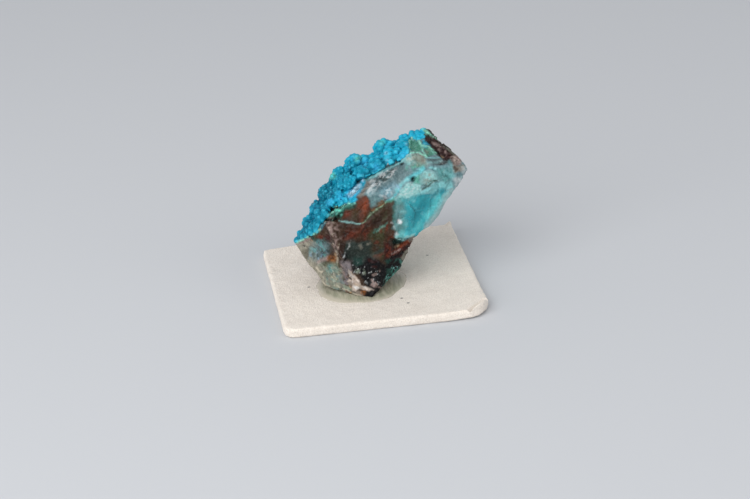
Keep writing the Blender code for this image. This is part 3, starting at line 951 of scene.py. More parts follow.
        (-2.2, 0.6), (-3.6, 0), (-4.6, 0.2), (-4.3, 1.6), (-5.6, 2.4), (-4.8, 3.8), edge=0.25),
    zone(Hue.GREY_BROWN, (-5.4, 3.5), (-4.4, 3.2), (-4, 1.8), (-4.6, 0.9), (-5.6, 2), edge=0.35,
        grain=Grain(0.6, 0.6, 1.8, -60), strength=0.85),
    zone(Hue.WHITE_QUARTZ, (-5, 5.4), (-2.4, 2.4), (-1, 1), (-3.6, 0.2), (-4, 2),
        grain=Grain(0.7, 0.25, 2, -55), strength=0.6),
    zone(Hue.TAN, (-3.6, 2.2), (-1.6, 1.4), (-1.2, 0.2), (-3.4, 0), grain=Grain(0.7, 0.3, 1.6, -30),
        strength=0.5),
    zone(Hue.OCHRE, (-3.6, 0.2), (-1, 0.4), (-1, -0.9), (-3.4, -0.6), grain=Grain(0.8, 0.5), strength=0.6),
    zone(Hue.BLACK, (-1.2, 0.2), (1.8, 0.6), (1.2, -1.4), (-1.4, -1.2), grain=Grain(0.8, 0.6)),
    zone(Hue.DARK_RED, (3.4, 12.4), (5.4, 12.2), (6, 11.2), (8, 11.6), (10.6, 13.6), (11.2, 12.6),
        (9.6, 10.8), (7.4, 9), (5.8, 8.2), (3.6, 8)),
    zone(Hue.BRICK, (3.8, 12), (5.2, 11.8), (5.8, 10), (4.4, 9), grain=Grain(1, 0.5), strength=0.8),
    streak(Hue.BRICK, 1.1, (4.6, 9.2), (6, 10), (8, 11.4), (10.8, 13.6), edge=0.3, relief=0.2),
    streak(Hue.BRIGHT_RUST, 0.8, (7.6, 11.5), (9.2, 12.5), (10.6, 13.6), edge=0.35, relief=0.1),
    streak(Hue.PINK_GREY, 0.3, (5.4, 9.6), (6.6, 10.2), (7.6, 10.8)),
    # Painted highlight: a pale thread along the glossy red ledge
    streak(Hue.TAN, 0.3, (6.2, 11.1), (7.4, 11.8), strength=0.7),
    streak(Hue.BLACK, 0.5, (5.2, 8.4), (7.2, 9.2), (8.4, 10), edge=0.3, relief=-0.25),
    streak(Hue.GREY_BROWN, 0.9, (10, 13.1), (11.2, 13.4), edge=0.3),
    # Painted shadow in the groove beneath the teal block's lower edge
    streak(Hue.DARK_GREEN, 1.2, (6.2, 12.6), (7.6, 12.8), edge=0.4, relief=-0.3),
    streak(Hue.PINK_GREY, 0.5, (-18.8, 12), (-17, 12.6), (-15, 13.3), edge=0.3),
    streak(Hue.BLACK, 0.4, (-16.4, 11.6), relief=-0.1),
    streak(Hue.BRICK, 0.9, (-13.2, 13.9), (-12.2, 13.7), edge=0.4),
    streak(Hue.DARK_RED, 1.5, (-10.4, 13.4), edge=0.6),
    streak(Hue.MOSS, 0.7, (-13.8, 13.2), (-13, 14.8), edge=0.4, strength=0.6),
    streak(Hue.PINK_GREY, 0.8, (-12.9, 7.5), (-11.8, 8.2), (-10.8, 8.5), edge=0.5, strength=0.8),
    streak(Hue.STEEL, 1.3, (-11, 11.4), edge=0.7, strength=0.8),
    # Painted shadow in the groove under the green rim
    streak(Hue.BLACK, 0.55, (-11.1, 18.2), (-9.8, 18), (-8.6, 18.1), edge=0.25, relief=-0.5),
    streak(Hue.OCHRE, 1.1, (-9.9, 8.5), (-8.9, 8.2), edge=0.6, relief=-0.25, strength=0.9),
    streak(Hue.DARK_BROWN, 0.6, (-10, 8), (-9.6, 8.7), edge=0.3, strength=0.7),
    streak(Hue.CREAM, 0.35, (-8.5, 10.3), (-8.1, 9.4), (-7.8, 8.4), (-8.1, 7.4), edge=0.3, strength=0.5,
        relief=0.12, grain=Grain(0.6, 0.7)),
    streak(Hue.TAN, 0.5, (-8.6, 9.6), (-8.3, 8.4), edge=0.4, strength=0.7),
    streak(Hue.CREAM, 0.35, (-13.4, 6.2), (-12.9, 5.2), (-12.2, 4.8), (-11.8, 5.2), edge=0.25, relief=0.1),
    streak(Hue.PALE_TEAL, 0.8, (-10, 6.5), (-9.7, 5.4), edge=0.5, strength=0.7),
    streak(Hue.CREAM, 0.25, (-9.6, 6.2), (-9, 4.4), (-8.2, 3), edge=0.25, strength=0.7,
        grain=Grain(0.6, 0.6)),
    streak(Hue.RED, 2.1, (-5.4, 19.4), edge=0.6, strength=0.8),
    streak(Hue.BRICK, 1.1, (-5.5, 19.5), edge=0.6, strength=0.9),
    streak(Hue.OLIVE, 0.8, (2, 22), (3.2, 22.4), edge=0.35),
    streak(Hue.OCHRE, 0.4, (2.4, 22.2), (3.1, 22.6), edge=0.3, strength=0.3),
    streak(Hue.OLIVE, 1.2, (3.9, 22), (2.4, 21), (0.4, 19.7), (-1, 18), edge=0.5, strength=0.9),
    streak(Hue.OCHRE, 0.4, (3.4, 22), (2, 21.2), (0.6, 20.2), edge=0.3, strength=0.35,
        grain=Grain(0.8, 0.5)),
    streak(Hue.VEIN, 0.28, (4, 22.2), (2.5, 21), (0.5, 19.8), (-0.7, 18.5), (-1.2, 17.5), (-2, 17),
        (-3, 17), edge=0.16, strength=0.75, grain=Grain(0.45, 0.62)),
    streak(Hue.VEIN, 0.15, (3, 21.3), (1.4, 20.5), (-0.4, 18.9), edge=0.2, strength=0.5),
    streak(Hue.JADE, 0.26, (-2.2, 16.9), (-3.4, 17), (-4.5, 17.4), (-6, 17.5), (-7.8, 17.8), edge=0.2,
        relief=0.06, strength=0.8),
    streak(Hue.DARK_BROWN, 0.3, (-2.4, 17.4), (-4.4, 17.9), (-6.4, 18), edge=0.25, strength=0.7),
    streak(Hue.SEA_GREEN, 0.4, (4.2, 17.2), (3.2, 16.4), (2.2, 15.6), (1, 14.9), edge=0.25, strength=0.85,
        grain=Grain(0.6, 0.75)),
    streak(Hue.SEA_GREEN, 0.25, (3, 16.9), (1.9, 15.9), (0.9, 15.6), edge=0.2, strength=0.6,
        grain=Grain(0.6, 0.6)),
    streak(Hue.SAGE, 0.3, (4.3, 17.4), (3, 16), (1.6, 15), edge=0.3, strength=0.5, grain=Grain(0.6, 0.4)),
    streak(Hue.ASH, 0.7, (-2.4, 11.6), (-2.2, 11), edge=0.4, strength=0.7),
    streak(Hue.WHITE_QUARTZ, 0.2, (-5.1, 12.1), (-5.2, 11.2), (-5.9, 10.2), (-6.6, 8.4), edge=0.2,
        strength=0.6, grain=Grain(0.7, 0.5)),
    streak(Hue.BLACK, 0.35, (-5.1, 3.5), (-4.7, 3.3), edge=0.25, relief=-0.2),
    streak(Hue.CREAM, 0.25, (-12.8, 2.8), (-11.4, 2), (-10, 1.5), (-8.5, 1.7), (-7.3, 1.2), (-5.8, 0.6),
        (-4, -0.5), (-2, -1), edge=0.25, strength=0.9, grain=Grain(0.8, 0.85)),
)

# Stains and facets of the upper block: milky quartz, jade-green and teal chalcedony, and the purple-brown
# end face, with painted shade in a pit and painted highlights on the end face
UPPER_MARKS = (
    zone(Hue.QUARTZ, (-3, 24.4), (-1, 28), (8, 32.8), (13, 35.5), (20, 33), (24.5, 31.5), (22, 26),
        (19, 24), (12, 24.5), (6, 23.4), (3.6, 24.6), (-0.4, 24.2), edge=0.5),
    zone(Hue.QUARTZ_BLUE, (-0.5, 27.4), (3, 30), (8, 32.8), (8.4, 30.6), (6, 26.4), (2, 25), edge=0.6,
        strength=0.8),
    zone(Hue.STEEL, (2.4, 29), (6.4, 31.6), (9.2, 31.6), (10, 29.6), (6.4, 26.4), (3, 26.4), edge=0.8,
        strength=0.7),
    zone(Hue.SLATE, (-1.2, 25.4), (0.4, 28), (3.4, 30.2), (6.4, 31.2), (5.4, 28.6), (2.6, 26.4),
        (0.4, 25.2), grain=Grain(0.8, 0.5, 2.5, 35, 0.2), strength=0.7, edge=0.5),
    zone(Hue.WHITE_QUARTZ, (-0.6, 25), (0.6, 28.4), (3.4, 30.6), (6.6, 31.4), (6, 29.4), (3, 27), (1.2, 25),
        grain=Grain(0.55, 0.4, 2.6, 42, 0.2), strength=0.62, edge=0.6),
    zone(Hue.WHITE_QUARTZ, (-0.9, 24.8), (-0.2, 26.6), (1, 28.4), (1.7, 28), (1, 26.2), (0.4, 24.8),
        edge=0.35, strength=0.6, grain=Grain(0.5, 0.7, 2, 62, 0.25)),
    zone(Hue.BLACK, (0.4, 26.6), (1.2, 28.8), (5, 30.8), (4.6, 29), (2, 26.8),
        grain=Grain(0.45, 0.12, 2, 62, 0.1), strength=0.5),
    zone(Hue.ICE_AND_PAINTED_GLINT, (3.2, 25.8), (6, 27.4), (6.4, 25.2), (4.4, 23.8), (3, 24), edge=0.9, strength=0.25),
    zone(Hue.WHITE_QUARTZ, (2.4, 24.8), (5.6, 26.6), (6, 24.6), (3.6, 23.4), edge=0.6, strength=0.45,
        grain=Grain(0.6, 0.45, 1.4, 40, 0.25)),
    zone(Hue.JADE, (7, 23.3), (7.6, 25.4), (9.4, 27), (12.6, 26.8), (12.8, 25), (9.8, 23.4), edge=0.25,
        relief=0.1),
    zone(Hue.JADE, (12.6, 30.2), (15.6, 29.8), (16.8, 27.6), (14.4, 26.6), (12.8, 27), edge=0.6),
    zone(Hue.ASH, (12.8, 29.8), (15.4, 29.4), (16.6, 27.6), (13.2, 26), grain=Grain(0.55, 0.35),
        strength=0.6),
    zone(Hue.WHITE_QUARTZ, (7.4, 23.8), (8, 25.6), (10, 27), (12.4, 26.6), (12.4, 25), (9.8, 23.8),
        edge=0.4, strength=0.35, grain=Grain(0.4, 0.45)),
    zone(Hue.PALE_TEAL, (16, 31), (20.6, 30.8), (21, 28), (18.6, 27.4), (16.6, 28), edge=0.8),
    zone(Hue.MILKY_TEAL, (12.4, 24.4), (13.6, 25.8), (17.4, 27.4), (20.6, 27.6), (21, 26), (18.4, 26),
        (16, 24.5), edge=0.4, strength=0.9),
    zone(Hue.MALACHITE, (8.8, 30.6), (9.4, 32), (12, 32.2), (13.8, 31.4), (12.6, 30.4), edge=0.8,
        strength=0.75, grain=Grain(0.9, 0.75)),
    zone(Hue.CLEAR_GREY, (9, 32.6), (12, 32.6), (13, 31.4), (15, 31), (9.4, 31.6), edge=0.5, strength=0.4,
        grain=Grain(0.6, 0.4)),
    zone(Hue.MALACHITE, (11, 28.6), (12.4, 29), (12.6, 27), (11.2, 26.8), edge=0.4, strength=0.8),
    zone(Hue.PALE_TEAL, (6.3, 22.4), (7, 23.2), (11, 23.6), (11.6, 21), (9.6, 17), (8.4, 13.2), (6.4, 13.6),
        (5.8, 18), edge=0.4),
    zone(Hue.STEEL, (6.2, 22), (8.4, 22), (8.4, 18.6), (7.4, 15), (6, 16), edge=0.6, strength=0.5),
    zone(Hue.TEAL, (8.4, 22.8), (12, 24), (15, 24.1), (18.3, 26), (19.6, 25), (18.4, 22), (16, 19.4),
        (13, 15.8), (11.4, 14.4), (9, 13.8), (8.8, 18), edge=1),
    zone(Hue.RIM_GREY, (19.2, 25.4), (22, 26.4), (18.8, 19.4), (15.4, 15.6), (12.4, 13.8), (13.7, 17.1),
        (16.6, 21), edge=0.7),
    zone(Hue.JADE, (8.4, 32.8), (10.2, 35), (11.4, 34.4), (11.6, 32.4), (9.4, 31.6), edge=0.5,
        strength=0.7),
    zone(Hue.CREAM, (9, 33), (10.4, 34.8), (11.4, 34), (11, 32.6), edge=0.5, strength=0.5,
        grain=Grain(0.7, 0.5)),
    zone(Hue.SAGE, (10.4, 34.6), (13, 34.6), (14.4, 33), (14.4, 31.6), (12, 31.8), (10.6, 33), edge=0.8,
        strength=0.8),
    zone(Hue.GREY_BROWN, (11, 34.2), (12.8, 34.4), (14, 33), (14.2, 32), (12.2, 32.4), edge=0.6,
        strength=0.55, grain=Grain(0.8, 0.6, 1.6, -30)),
    zone(Hue.STEEL, (14.2, 33.6), (18.4, 33.6), (19.2, 32.2), (14.6, 31.6), edge=0.5, strength=0.9),
    streak(Hue.MILKY_TEAL, 0.35, (13.8, 33.4), (15.6, 33.4), (17.4, 33.6), edge=0.3, strength=0.7),
    streak(Hue.SLATE, 0.5, (14.8, 32.8), (16.6, 33), (18.6, 33.2), edge=0.5, strength=0.45),
    streak(Hue.JADE, 0.35, (14, 32.3), (16, 32.2), (17.6, 32.5), edge=0.4, strength=0.6),
    streak(Hue.DARK_BROWN, 0.6, (16, 32), (17.4, 32), (19.4, 32.5), edge=0.4, strength=0.9, relief=-0.2,
        grain=Grain(1, 0.7)),
    zone(Hue.FACET_GREEN, (10.2, 38.4), (11.4, 38.2), (12.8, 36.6), (12.8, 35.4), (12, 35), (10.2, 35.2),
        (9.9, 36.6), edge=0.2, relief=-0.35),
    zone(Hue.FACET_GREEN, (13.3, 36.2), (15.2, 36.2), (16, 34.4), (14.2, 33.8), edge=0.2, relief=-0.3),
    zone(Hue.GREY_BROWN, (13.6, 36), (15, 35.8), (15, 34.4), (13.8, 34.6), edge=0.4, strength=0.5),
    zone(Hue.CRUST_MID, (12.8, 38), (14, 38.2), (15.4, 36.7), (13.2, 36.6), edge=0.3, strength=0.8),
    zone(Hue.PURPLE_BROWN, (13.8, 39), (16.6, 38.6), (20.8, 34.5), (22, 34), (21.4, 32.8), (18.8, 33),
        (16.8, 34.6), (15.4, 36.6), (13.9, 38)),
    # Partly pink-grey flecks and partly painted highlight on the glossy facets
    zone(Hue.PINK_GREY, (15.6, 37.6), (17.6, 37.2), (19.6, 34.8), (18.6, 33.8), (16.8, 35.4), strength=0.7,
        grain=Grain(1.4, 0.42, 1.6, -50), relief=0.2),
    zone(Hue.DARK_RED, (14.2, 38.8), (17, 38), (21, 34.4), (20.6, 33), (18, 33.4),
        grain=Grain(0.9, 0.3, 2.4, -48), strength=0.8, relief=-0.2),
    # Painted highlight at the right end of the end face
    zone(Hue.PINK_GREY, (20.6, 34), (22.6, 33.4), (23, 32), (20.8, 31.8), edge=0.4),
    zone(Hue.BONE, (20.8, 34.2), (22.8, 33.6), (22.9, 32.6), (21.6, 32.8), edge=0.3, strength=0.7,
        grain=Grain(0.9, 0.6)),
    zone(Hue.ASH, (20.6, 31.7), (23.6, 31.9), (23.6, 30.6), (22.4, 29.9), (20.8, 29.9)),
    zone(Hue.GREY_BROWN, (20.6, 33.2), (22, 32.8), (22.8, 31), (22.4, 30.1), (20.8, 30), edge=0.5,
        strength=0.7),
    zone(Hue.MAROON, (20.4, 32.4), (22.6, 31.8), (22.6, 30.4), (20.8, 30.4), edge=0.5, strength=0.7,
        grain=Grain(0.9, 0.5, 1.8, -30)),
    zone(Hue.QUARTZ, (20.6, 29.9), (24, 30), (23.4, 26.8), (21, 25.6), (20.4, 27.6), edge=0.5),
    zone(Hue.WHITE_QUARTZ, (20.8, 28.2), (23.4, 28.8), (23.2, 27), (21.4, 26), edge=0.5, strength=0.6,
        grain=Grain(1, 0.7)),
    zone(Hue.WHITE_QUARTZ, (22.8, 31.6), (24.6, 31.4), (24.2, 29), (23.2, 28.6), (22.8, 30), edge=0.3,
        strength=0.45),
    streak(Hue.DEEP_TEAL, 2.4, (13.4, 21.6), (12, 20.4), (10.5, 18.5), edge=1.2, strength=0.9),
    streak(Hue.DEEP_TEAL, 1.2, (15.6, 24), (18.2, 25.2), edge=0.7, strength=0.6),
    streak(Hue.BRIGHT_TEAL, 1.6, (17, 23.6), (15.6, 20.4), (14.4, 19), edge=0.9, strength=0.7),
    streak(Hue.BRIGHT_TEAL, 1.2, (12.4, 17), (11.8, 15.8), edge=0.8, strength=0.6),
    streak(Hue.MILKY_TEAL, 0.6, (19.4, 25), (17.8, 22.8), (16.6, 20.4), edge=0.6, strength=0.8),
    streak(Hue.MILKY_TEAL, 0.7, (10.8, 22.6), edge=0.5, strength=0.8),
    streak(Hue.WHITE_QUARTZ, 1, (7.3, 17.5), (7.5, 17.4), edge=0.3, relief=0.15),
    streak(Hue.MILKY_TEAL, 0.5, (7.6, 20), (8.6, 20.1), edge=0.3, strength=0.6),
    streak(Hue.WHITE_QUARTZ, 0.25, (5, 18), (5.6, 16.8), (6.3, 15.6), (6.5, 14.6), edge=0.2, strength=0.6,
        grain=Grain(0.6, 0.5)),
    streak(Hue.WHITE_QUARTZ, 0.5, (6.5, 14.5), (6.9, 14.3), edge=0.35, strength=0.6),
    streak(Hue.JADE, 0.5, (6.6, 14), (6.8, 13.2), (8, 13), (9.4, 13.8), (11, 14.4), edge=0.25),
    streak(Hue.BRIGHT_TEAL, 1.2, (7.6, 14.8), (8.8, 14.4), edge=0.7, strength=0.5),
    streak(Hue.DARK_GREEN, 0.7, (6.2, 22.4), (5.9, 20), (6, 18.2), edge=0.4, strength=0.7),
    streak(Hue.GREY_BROWN, 1.5, (-2.4, 24.4), (-0.6, 26.8), edge=0.5, strength=0.85),
    streak(Hue.BLACK, 0.5, (7.8, 32), (8.2, 32.2), edge=0.25, relief=-0.25),
    streak(Hue.CYAN_VEIN, 0.9, (13.2, 30.8), (12, 29.8), (10.8, 28.9), (9.4, 28), edge=0.6, strength=0.75),
    streak(Hue.MILKY_TEAL, 0.8, (9.4, 28), (8, 27), (7.2, 26.2), (6.6, 25.4), edge=0.5, strength=0.8),
    streak(Hue.CYAN_VEIN, 0.5, (7.6, 26.4), (6.8, 24.6), (5.6, 23.5), (4.4, 22.8), edge=0.4, strength=0.7,
        grain=Grain(0.8, 0.75)),
    streak(Hue.MALACHITE, 0.5, (6, 23.2), (5, 22.6), (4, 22.4), edge=0.3, strength=0.6),
    streak(Hue.LILAC, 0.6, (6.8, 26.6), (7.2, 26), edge=0.4, strength=0.7),
    # Painted shade in the pit
    streak(Hue.BLACK, 0.5, (10.4, 27.9), (10.9, 28.4), edge=0.2),
    streak(Hue.DARK_GREEN, 0.35, (15, 27.5), (16, 27.7), edge=0.25, strength=0.8),
    streak(Hue.DARK_GREEN, 0.35, (16.3, 27.8), (15.2, 27.2), (14.4, 26.4), (13.7, 26), (12.7, 25.4),
        edge=0.2, strength=0.85, grain=Grain(0.45, 0.7)),
    streak(Hue.DARK_GREEN, 0.2, (14.5, 27.5), (14.4, 26.6), (15.4, 26.4), edge=0.15, strength=0.7,
        grain=Grain(0.4, 0.7)),
    streak(Hue.DARK_GREEN, 0.25, (13, 26.7), (14.2, 26.5), strength=0.7),
    streak(Hue.MILKY_TEAL, 0.4, (15, 30.8), (16.4, 30.7), edge=0.25),
    streak(Hue.MILKY_TEAL, 0.6, (18.8, 29.8), (19.4, 29.6), edge=0.4, strength=0.7),
    streak(Hue.MILKY_TEAL, 0.7, (19.8, 32.6), (20.4, 30.6), (20.6, 28.6), edge=0.6, strength=0.6),
    streak(Hue.PALE_GREEN, 0.4, (9.9, 35), (10, 38.6), (10.9, 39.2), (12.2, 38), (13, 36.7), (14.6, 36.5),
        (15.8, 35.8), (16.5, 34.8), relief=0.28),
    streak(Hue.PALE_GREEN, 0.35, (10.2, 34.8), (12.2, 34.8), (13.2, 34.2), (14.2, 33.6), relief=0.2),
    streak(Hue.PALE_GREEN, 0.35, (13, 36.6), (13.2, 35.2), (14, 34), relief=0.25),
    streak(Hue.PALE_GREEN, 0.8, (15, 35.9), (16.2, 34.8), edge=0.3, strength=0.8),
    streak(Hue.PALE_GREEN, 0.9, (13.4, 41), (14.4, 40.2), edge=0.4, relief=0.2),
    streak(Hue.PALE_GREEN, 0.35, (14.4, 40.2), (15.4, 39.3), (16.8, 38.6), relief=0.2),
    streak(Hue.SAGE, 0.4, (16.8, 38.5), (19, 36.4), (21, 34.6), edge=0.25, strength=0.5),
    streak(Hue.TAN, 0.4, (18, 34.2), (18.4, 33.8), strength=0.7),
)

# Stains along the foot of the crust, and painted shadow in the gap below its upper tier
EDGE_MARKS = (
    zone(Hue.CRUST_MID, (-19, 12.8), (-14, 15.2), (-11.8, 18.2), (-9, 21.4), (-6, 24.6), (-4, 28.2),
        (0, 29.9), (6.4, 33), (9, 35), (9.2, 39.4), (12, 40.2), (14, 42), (-5, 38), (-16, 28), (-22, 13),
        edge=0.3),
    zone(Hue.CRUST_MID, (-9.2, 22), (-6.6, 26), (-3.4, 27.6), (-1, 29), (-0.8, 27.4),
        (-1.8, 25.8), (-3, 24.6), (-3.2, 23), (-4, 22.2), (-5.6, 22), edge=0.4),
    zone(Hue.CRUST_BRIGHT, (-7.4, 22.8), (-6, 25), (-3, 27), (-2.4, 25.4), (-4.2, 22.8), edge=0.7,
        strength=0.8),
    # Painted shadow: near-black blue filling the gap under the crust's upper tier
    zone(Hue.GAP_PAINTED_SHADOW, (-4.2, 30), (-3.4, 27.2), (-2.6, 27.2), (-2.2, 28.2), (-1, 28.5), (0.6, 29),
        (1.8, 29.8), (0.8, 31), edge=0.25, relief=-0.3),
    streak(Hue.GAP_PAINTED_SHADOW, 0.5, (0.6, 29.6), (3, 30.8), (5.4, 32.1), edge=0.3, strength=0.8),
    zone(Hue.ICE_AND_PAINTED_GLINT, (-6, 24.2), (-4.4, 25.8), (-2.6, 27.2), (-2.2, 26.2), (-3.6, 24.6), (-5, 23.6), edge=0.7,
        strength=0.5),
    streak(Hue.LILAC, 0.9, (-5.2, 24), (-4.2, 25), (-2.6, 26.7), edge=0.5, strength=0.6, relief=0.15),
    streak(Hue.WHITE_QUARTZ, 0.35, (-5.3, 24.3), (-4.2, 25.4), (-2.9, 26.8), edge=0.3, strength=0.6,
        relief=0.1),
    streak(Hue.WHITE_QUARTZ, 0.3, (-4.6, 23.9), (-3.4, 25.2), (-2.6, 26.2), edge=0.25, strength=0.5),
    streak(Hue.QUARTZ_BLUE, 0.3, (-4.9, 24.4), (-3.6, 25.6), edge=0.2, strength=0.6),
    streak(Hue.LILAC, 1, (-1.8, 28), edge=0.35, relief=0.35),
    streak(Hue.PALE_TEAL, 0.8, (-1, 28.1), (0.4, 28.7), edge=0.4, strength=0.8),
    streak(Hue.MILKY_TEAL, 0.4, (0, 28.6), (4, 30.6), (8, 32.6), (10, 34.6), edge=0.3, strength=0.8,
        relief=0.1),
    zone(Hue.DARK_GREEN, (-10.8, 18.6), (-9, 21), (-5, 22.2), (-3.4, 21.6), (-6, 20.6), (-7, 19),
        (-8.4, 18.4), edge=0.45, strength=0.9),
    zone(Hue.SEA_GREEN, (-10.6, 18.8), (-9, 21.4), (-5, 22.5), (-3.4, 22), (-6, 20.9), (-8.4, 19), edge=0.4,
        strength=0.85, grain=Grain(0.7, 0.5, soft=0.15), relief=0.1),
    zone(Hue.PALE_GREEN, (-10.6, 19.2), (-9, 21.6), (-5, 22.7), (-3.4, 22.1), (-6.4, 21.3), (-8.4, 19.8),
        edge=0.4, strength=0.8, grain=Grain(0.55, 0.35, soft=0.1), relief=0.15),
    *(streak(Hue.PALE_GREEN, 0.62, spot, edge=0.3, strength=0.85, relief=0.3) for spot in (
        (-10.7, 18.9), (-10.1, 19.5), (-9.2, 20),
    )),
    *(streak(Hue.MINT, 0.8, spot, edge=0.35, strength=0.9, relief=0.35) for spot in (
        (-8.4, 20.5), (-7.7, 20.4),
    )),
    *(streak(Hue.SEA_GREEN, 0.6, spot, edge=0.3, relief=0.25) for spot in (
        (-8.3, 19.5), (-7.4, 21.2), (-7, 19.2),
    )),
    streak(Hue.BLACK, 0.5, (-7.7, 18.9), edge=0.35, relief=-0.25, strength=0.8),
    streak(Hue.PALE_GREEN, 0.5, (-18.4, 12.5), (-16, 13.6), (-14, 14.6), (-12.6, 15.5), edge=0.35,
        strength=0.8, relief=0.15, grain=Grain(0.8, 0.7)),
    streak(Hue.CRUST_SHADE, 0.8, (-12.2, 16), (-11.6, 17.4), edge=0.4, strength=0.7),
)


@dataclass
class BrokenStone:
    """Broken stone of chalcedony, quartz and copper ore: two fused blocks with hackly faces."""

    foot: tuple[Point, ...] = (
        (-19, 12, -1), (-17.6, 13.8, -3.5), (-15.6, 17.4, -2.5), (-14.6, 16.4, -7), (-10.5, 17.5, 8),
        (-7, 9.5, 7.5), (0.5, -1.5, 4), (-3.8, -0.8, 3), (-6.5, 0.5, 1.5), (-11.5, 1.5, -0.5),
        (-16, 8, -2.5), (5.2, 3.5, 1.5), (7.4, 6, 0.5), (9.1, 8.6, 0.3), (11.4, 14.6, 0.3), (5, 14, 7.3),
        (6, 21.5, 8.8), (-6, 21.5, 8.5), (-13.5, 7.5, -11), (-5, 5.5, -9.5), (4, 7.5, -12),
        (6.5, 15, -13.5), (-11.5, 20, -11),
    )
    upper: tuple[Point, ...] = (
        (-6, 21.5, 8.5), (-2, 24.5, 8.5), (2.5, 28.3, 7.5), (10.5, 35.3, 5), (15, 32.5, 7), (19, 31.5, 6.5),
        (6, 21.5, 9.5), (15, 25.5, 8), (-1, 18, 8.4), (6.7, 12.8, 7.6), (11.2, 14.2, 5.2),
        (15.2, 16.7, 4.2), (17.7, 19.7, 4.2), (21.2, 25.7, 4.2), (24.2, 30.5, 3.5), (22.8, 33.6, 2),
        (19.6, 36, -0.5), (14.6, 40.9, -3), (-13.4, 21.4, -2.5), (-9.4, 27.6, -4), (-5.4, 31.2, -5),
        (2.2, 35.4, -5.5), (9, 37.6, -5.5), (12.8, 40, -5.5), (-12, 20.6, -8), (-8, 26.4, -10),
        (-3.6, 30.2, -11), (3, 33.8, -11.5), (9.4, 36, -11), (14, 38.6, -9.5), (6.5, 15, -13.5),
        (14.2, 23.5, -13.5), (19.8, 32.4, -11.5), (18, 36.2, -11),
    )
    presses: tuple[tuple[Point, Point, float, float], ...] = (
        ((-3.2, 27.6, 5.5), (1.5, 29.4, 5.6), 1.2, 1.9), ((1.5, 29.4, 5.6), (7.4, 33.6, 4.6), 0.9, 1.4),
        ((-10.8, 18.2, 7.6), (-8.2, 18, 8), 0.8, 1.2), ((10.7, 28.3, 8), (10.9, 28.5, 7), 0.5, 1.5),
        ((6.6, 12.2, 6.6), (9, 12.8, 4.6), 1.1, 1.1), ((6.4, 13.6, 8.2), (11.4, 14.6, 5.4), 0.9, -0.6),
        ((-8.6, 15.6, 8), (-2.8, 14.9, 8.4), 0.7, -0.5), ((-2.8, 14.9, 8.4), (3, 20.4, 9.2), 0.7, -0.5),
        ((-10.4, 16.4, 8.2), (-6.4, 8.8, 7.6), 1, -0.6), ((-6.4, 8.8, 7.6), (-2.6, 2.6, 5.6), 1.1, -0.7),
        ((-4.6, 8.6, 7.2), (0.6, 9.6, 7.4), 2.2, 0.9), ((0.8, 3.2, 5.6), (3.4, 6.2, 4.8), 1.6, 0.8),
        ((-15.6, 9.8, 1.6), (-10.6, 9.8, 5.2), 2.2, 0.8), ((-12.8, 4, 1.6), (-8.8, 3.4, 4.4), 1.8, 0.7),
        ((15.6, 38, 0.6), (19.8, 33.4, 4), 1.4, 0.8), ((12.4, 20.6, 8.2), (17.6, 24, 6.4), 3.2, 0.6),
    )
    cell: float = 0.225
    floor: float = 0.0029
    chip_size: float = 7.0
    chip_height: float = 0.6
    chip_level: float = 0.35
    glass_outline: tuple[Spot, ...] = (
        (-3, 24.5), (-0.4, 24), (0.6, 21), (3.6, 22.6), (6, 22.4), (5.8, 18), (6.2, 13.4), (8.6, 12.8),
        (13, 14), (30, 20), (30, 32.6), (19.6, 32.6), (16.6, 34.2), (13, 38.6), (10, 39.5), (-3, 29),
    )
    teal_outline: tuple[Spot, ...] = (
        (6, 22.6), (9.8, 23.4), (12.4, 24.4), (16, 24.6), (18.4, 26.2), (30, 28), (30, 14), (13, 10),
        (8.6, 12.8), (6.2, 13.4),
    )
    even_outline: tuple[Spot, ...] = (
        (-8.6, 21.6), (-3, 24.6), (1, 24.8), (6.4, 23.2), (6.2, 18), (6, 12.6), (4.6, 9.8), (6, 8.6),
        (10.4, 9.6), (9, 5), (4, 0), (-2, -2.5), (-14, -1), (-22, 10), (-19, 13), (-12.4, 15.6),
        (-11.4, 18),
    )
    even_share: float = 0.24
    facets: tuple[tuple[float, float, float, int], ...] = (
        (3.6, 0.5, 0.26, 21), (1.7, 0.26, 0.08, 22), (0.8, 0.1, 0.02, 23),
    )

    facet_warp: float = 0.2
    facet_warp_seed: int = 10
    facet_quartz: float = 0.6
    glass_seed: int = 5
    teal_seed: int = 7
    even_seed: int = 9
    outline_wave: float = 0.5
    outline_wave_size: float = 4.0
    outline_blur: float = 0.4
    front_fade: Spot = (-0.12, 0.18)
    even_fade: Spot = (-4.5, -1.5)
    relief_warp: Warp = (1.2, 0.18, 43)
    sharp_warp: Warp = (1.0, 0.2, 51)
    loose_warp: Warp = (2.4, 0.5, 54)
    ore_clouds: tuple[tuple[Hue, int, float, float, float], ...] = (
        (Hue.MAROON, 31, 6.0, -0.3, 0.3), (Hue.RUST, 32, 3.2, 0.25, 0.6), (Hue.SLATE, 33, 4.5, 0.15, 0.5),
        (Hue.BOTTLE, 34, 3.8, 0.35, 0.7), (Hue.SAGE, 35, 3.0, 0.45, 0.8), (Hue.BLACK, 36, 2.2, 0.55, 0.9),
        (Hue.TAN, 37, 1.6, 0.75, 1.1),
    )
    quartz_clouds: tuple[tuple[Hue, int, float, float, float], ...] = (
        (Hue.JADE, 41, 5.0, -0.1, 0.5), (Hue.QUARTZ_BLUE, 42, 3.5, 0.2, 0.7),
        (Hue.PALE_TEAL, 43, 4.0, 0.2, 0.8), (Hue.WHITE_QUARTZ, 44, 1.8, 0.5, 0.9),
    )
    milk_seed: int = 45
    milk_size: float = 5.0
    calm_quartz: float = 0.72
    broad_mottle: tuple[float, int, float, int] = (0.22, 61, 1.0, 3)
    fine_mottle: tuple[float, int, float, int] = (0.12, 62, 0.45, 1)
    drawn_mottle: tuple[float, int, float, int] = (0.16, 63, 0.7, 2)
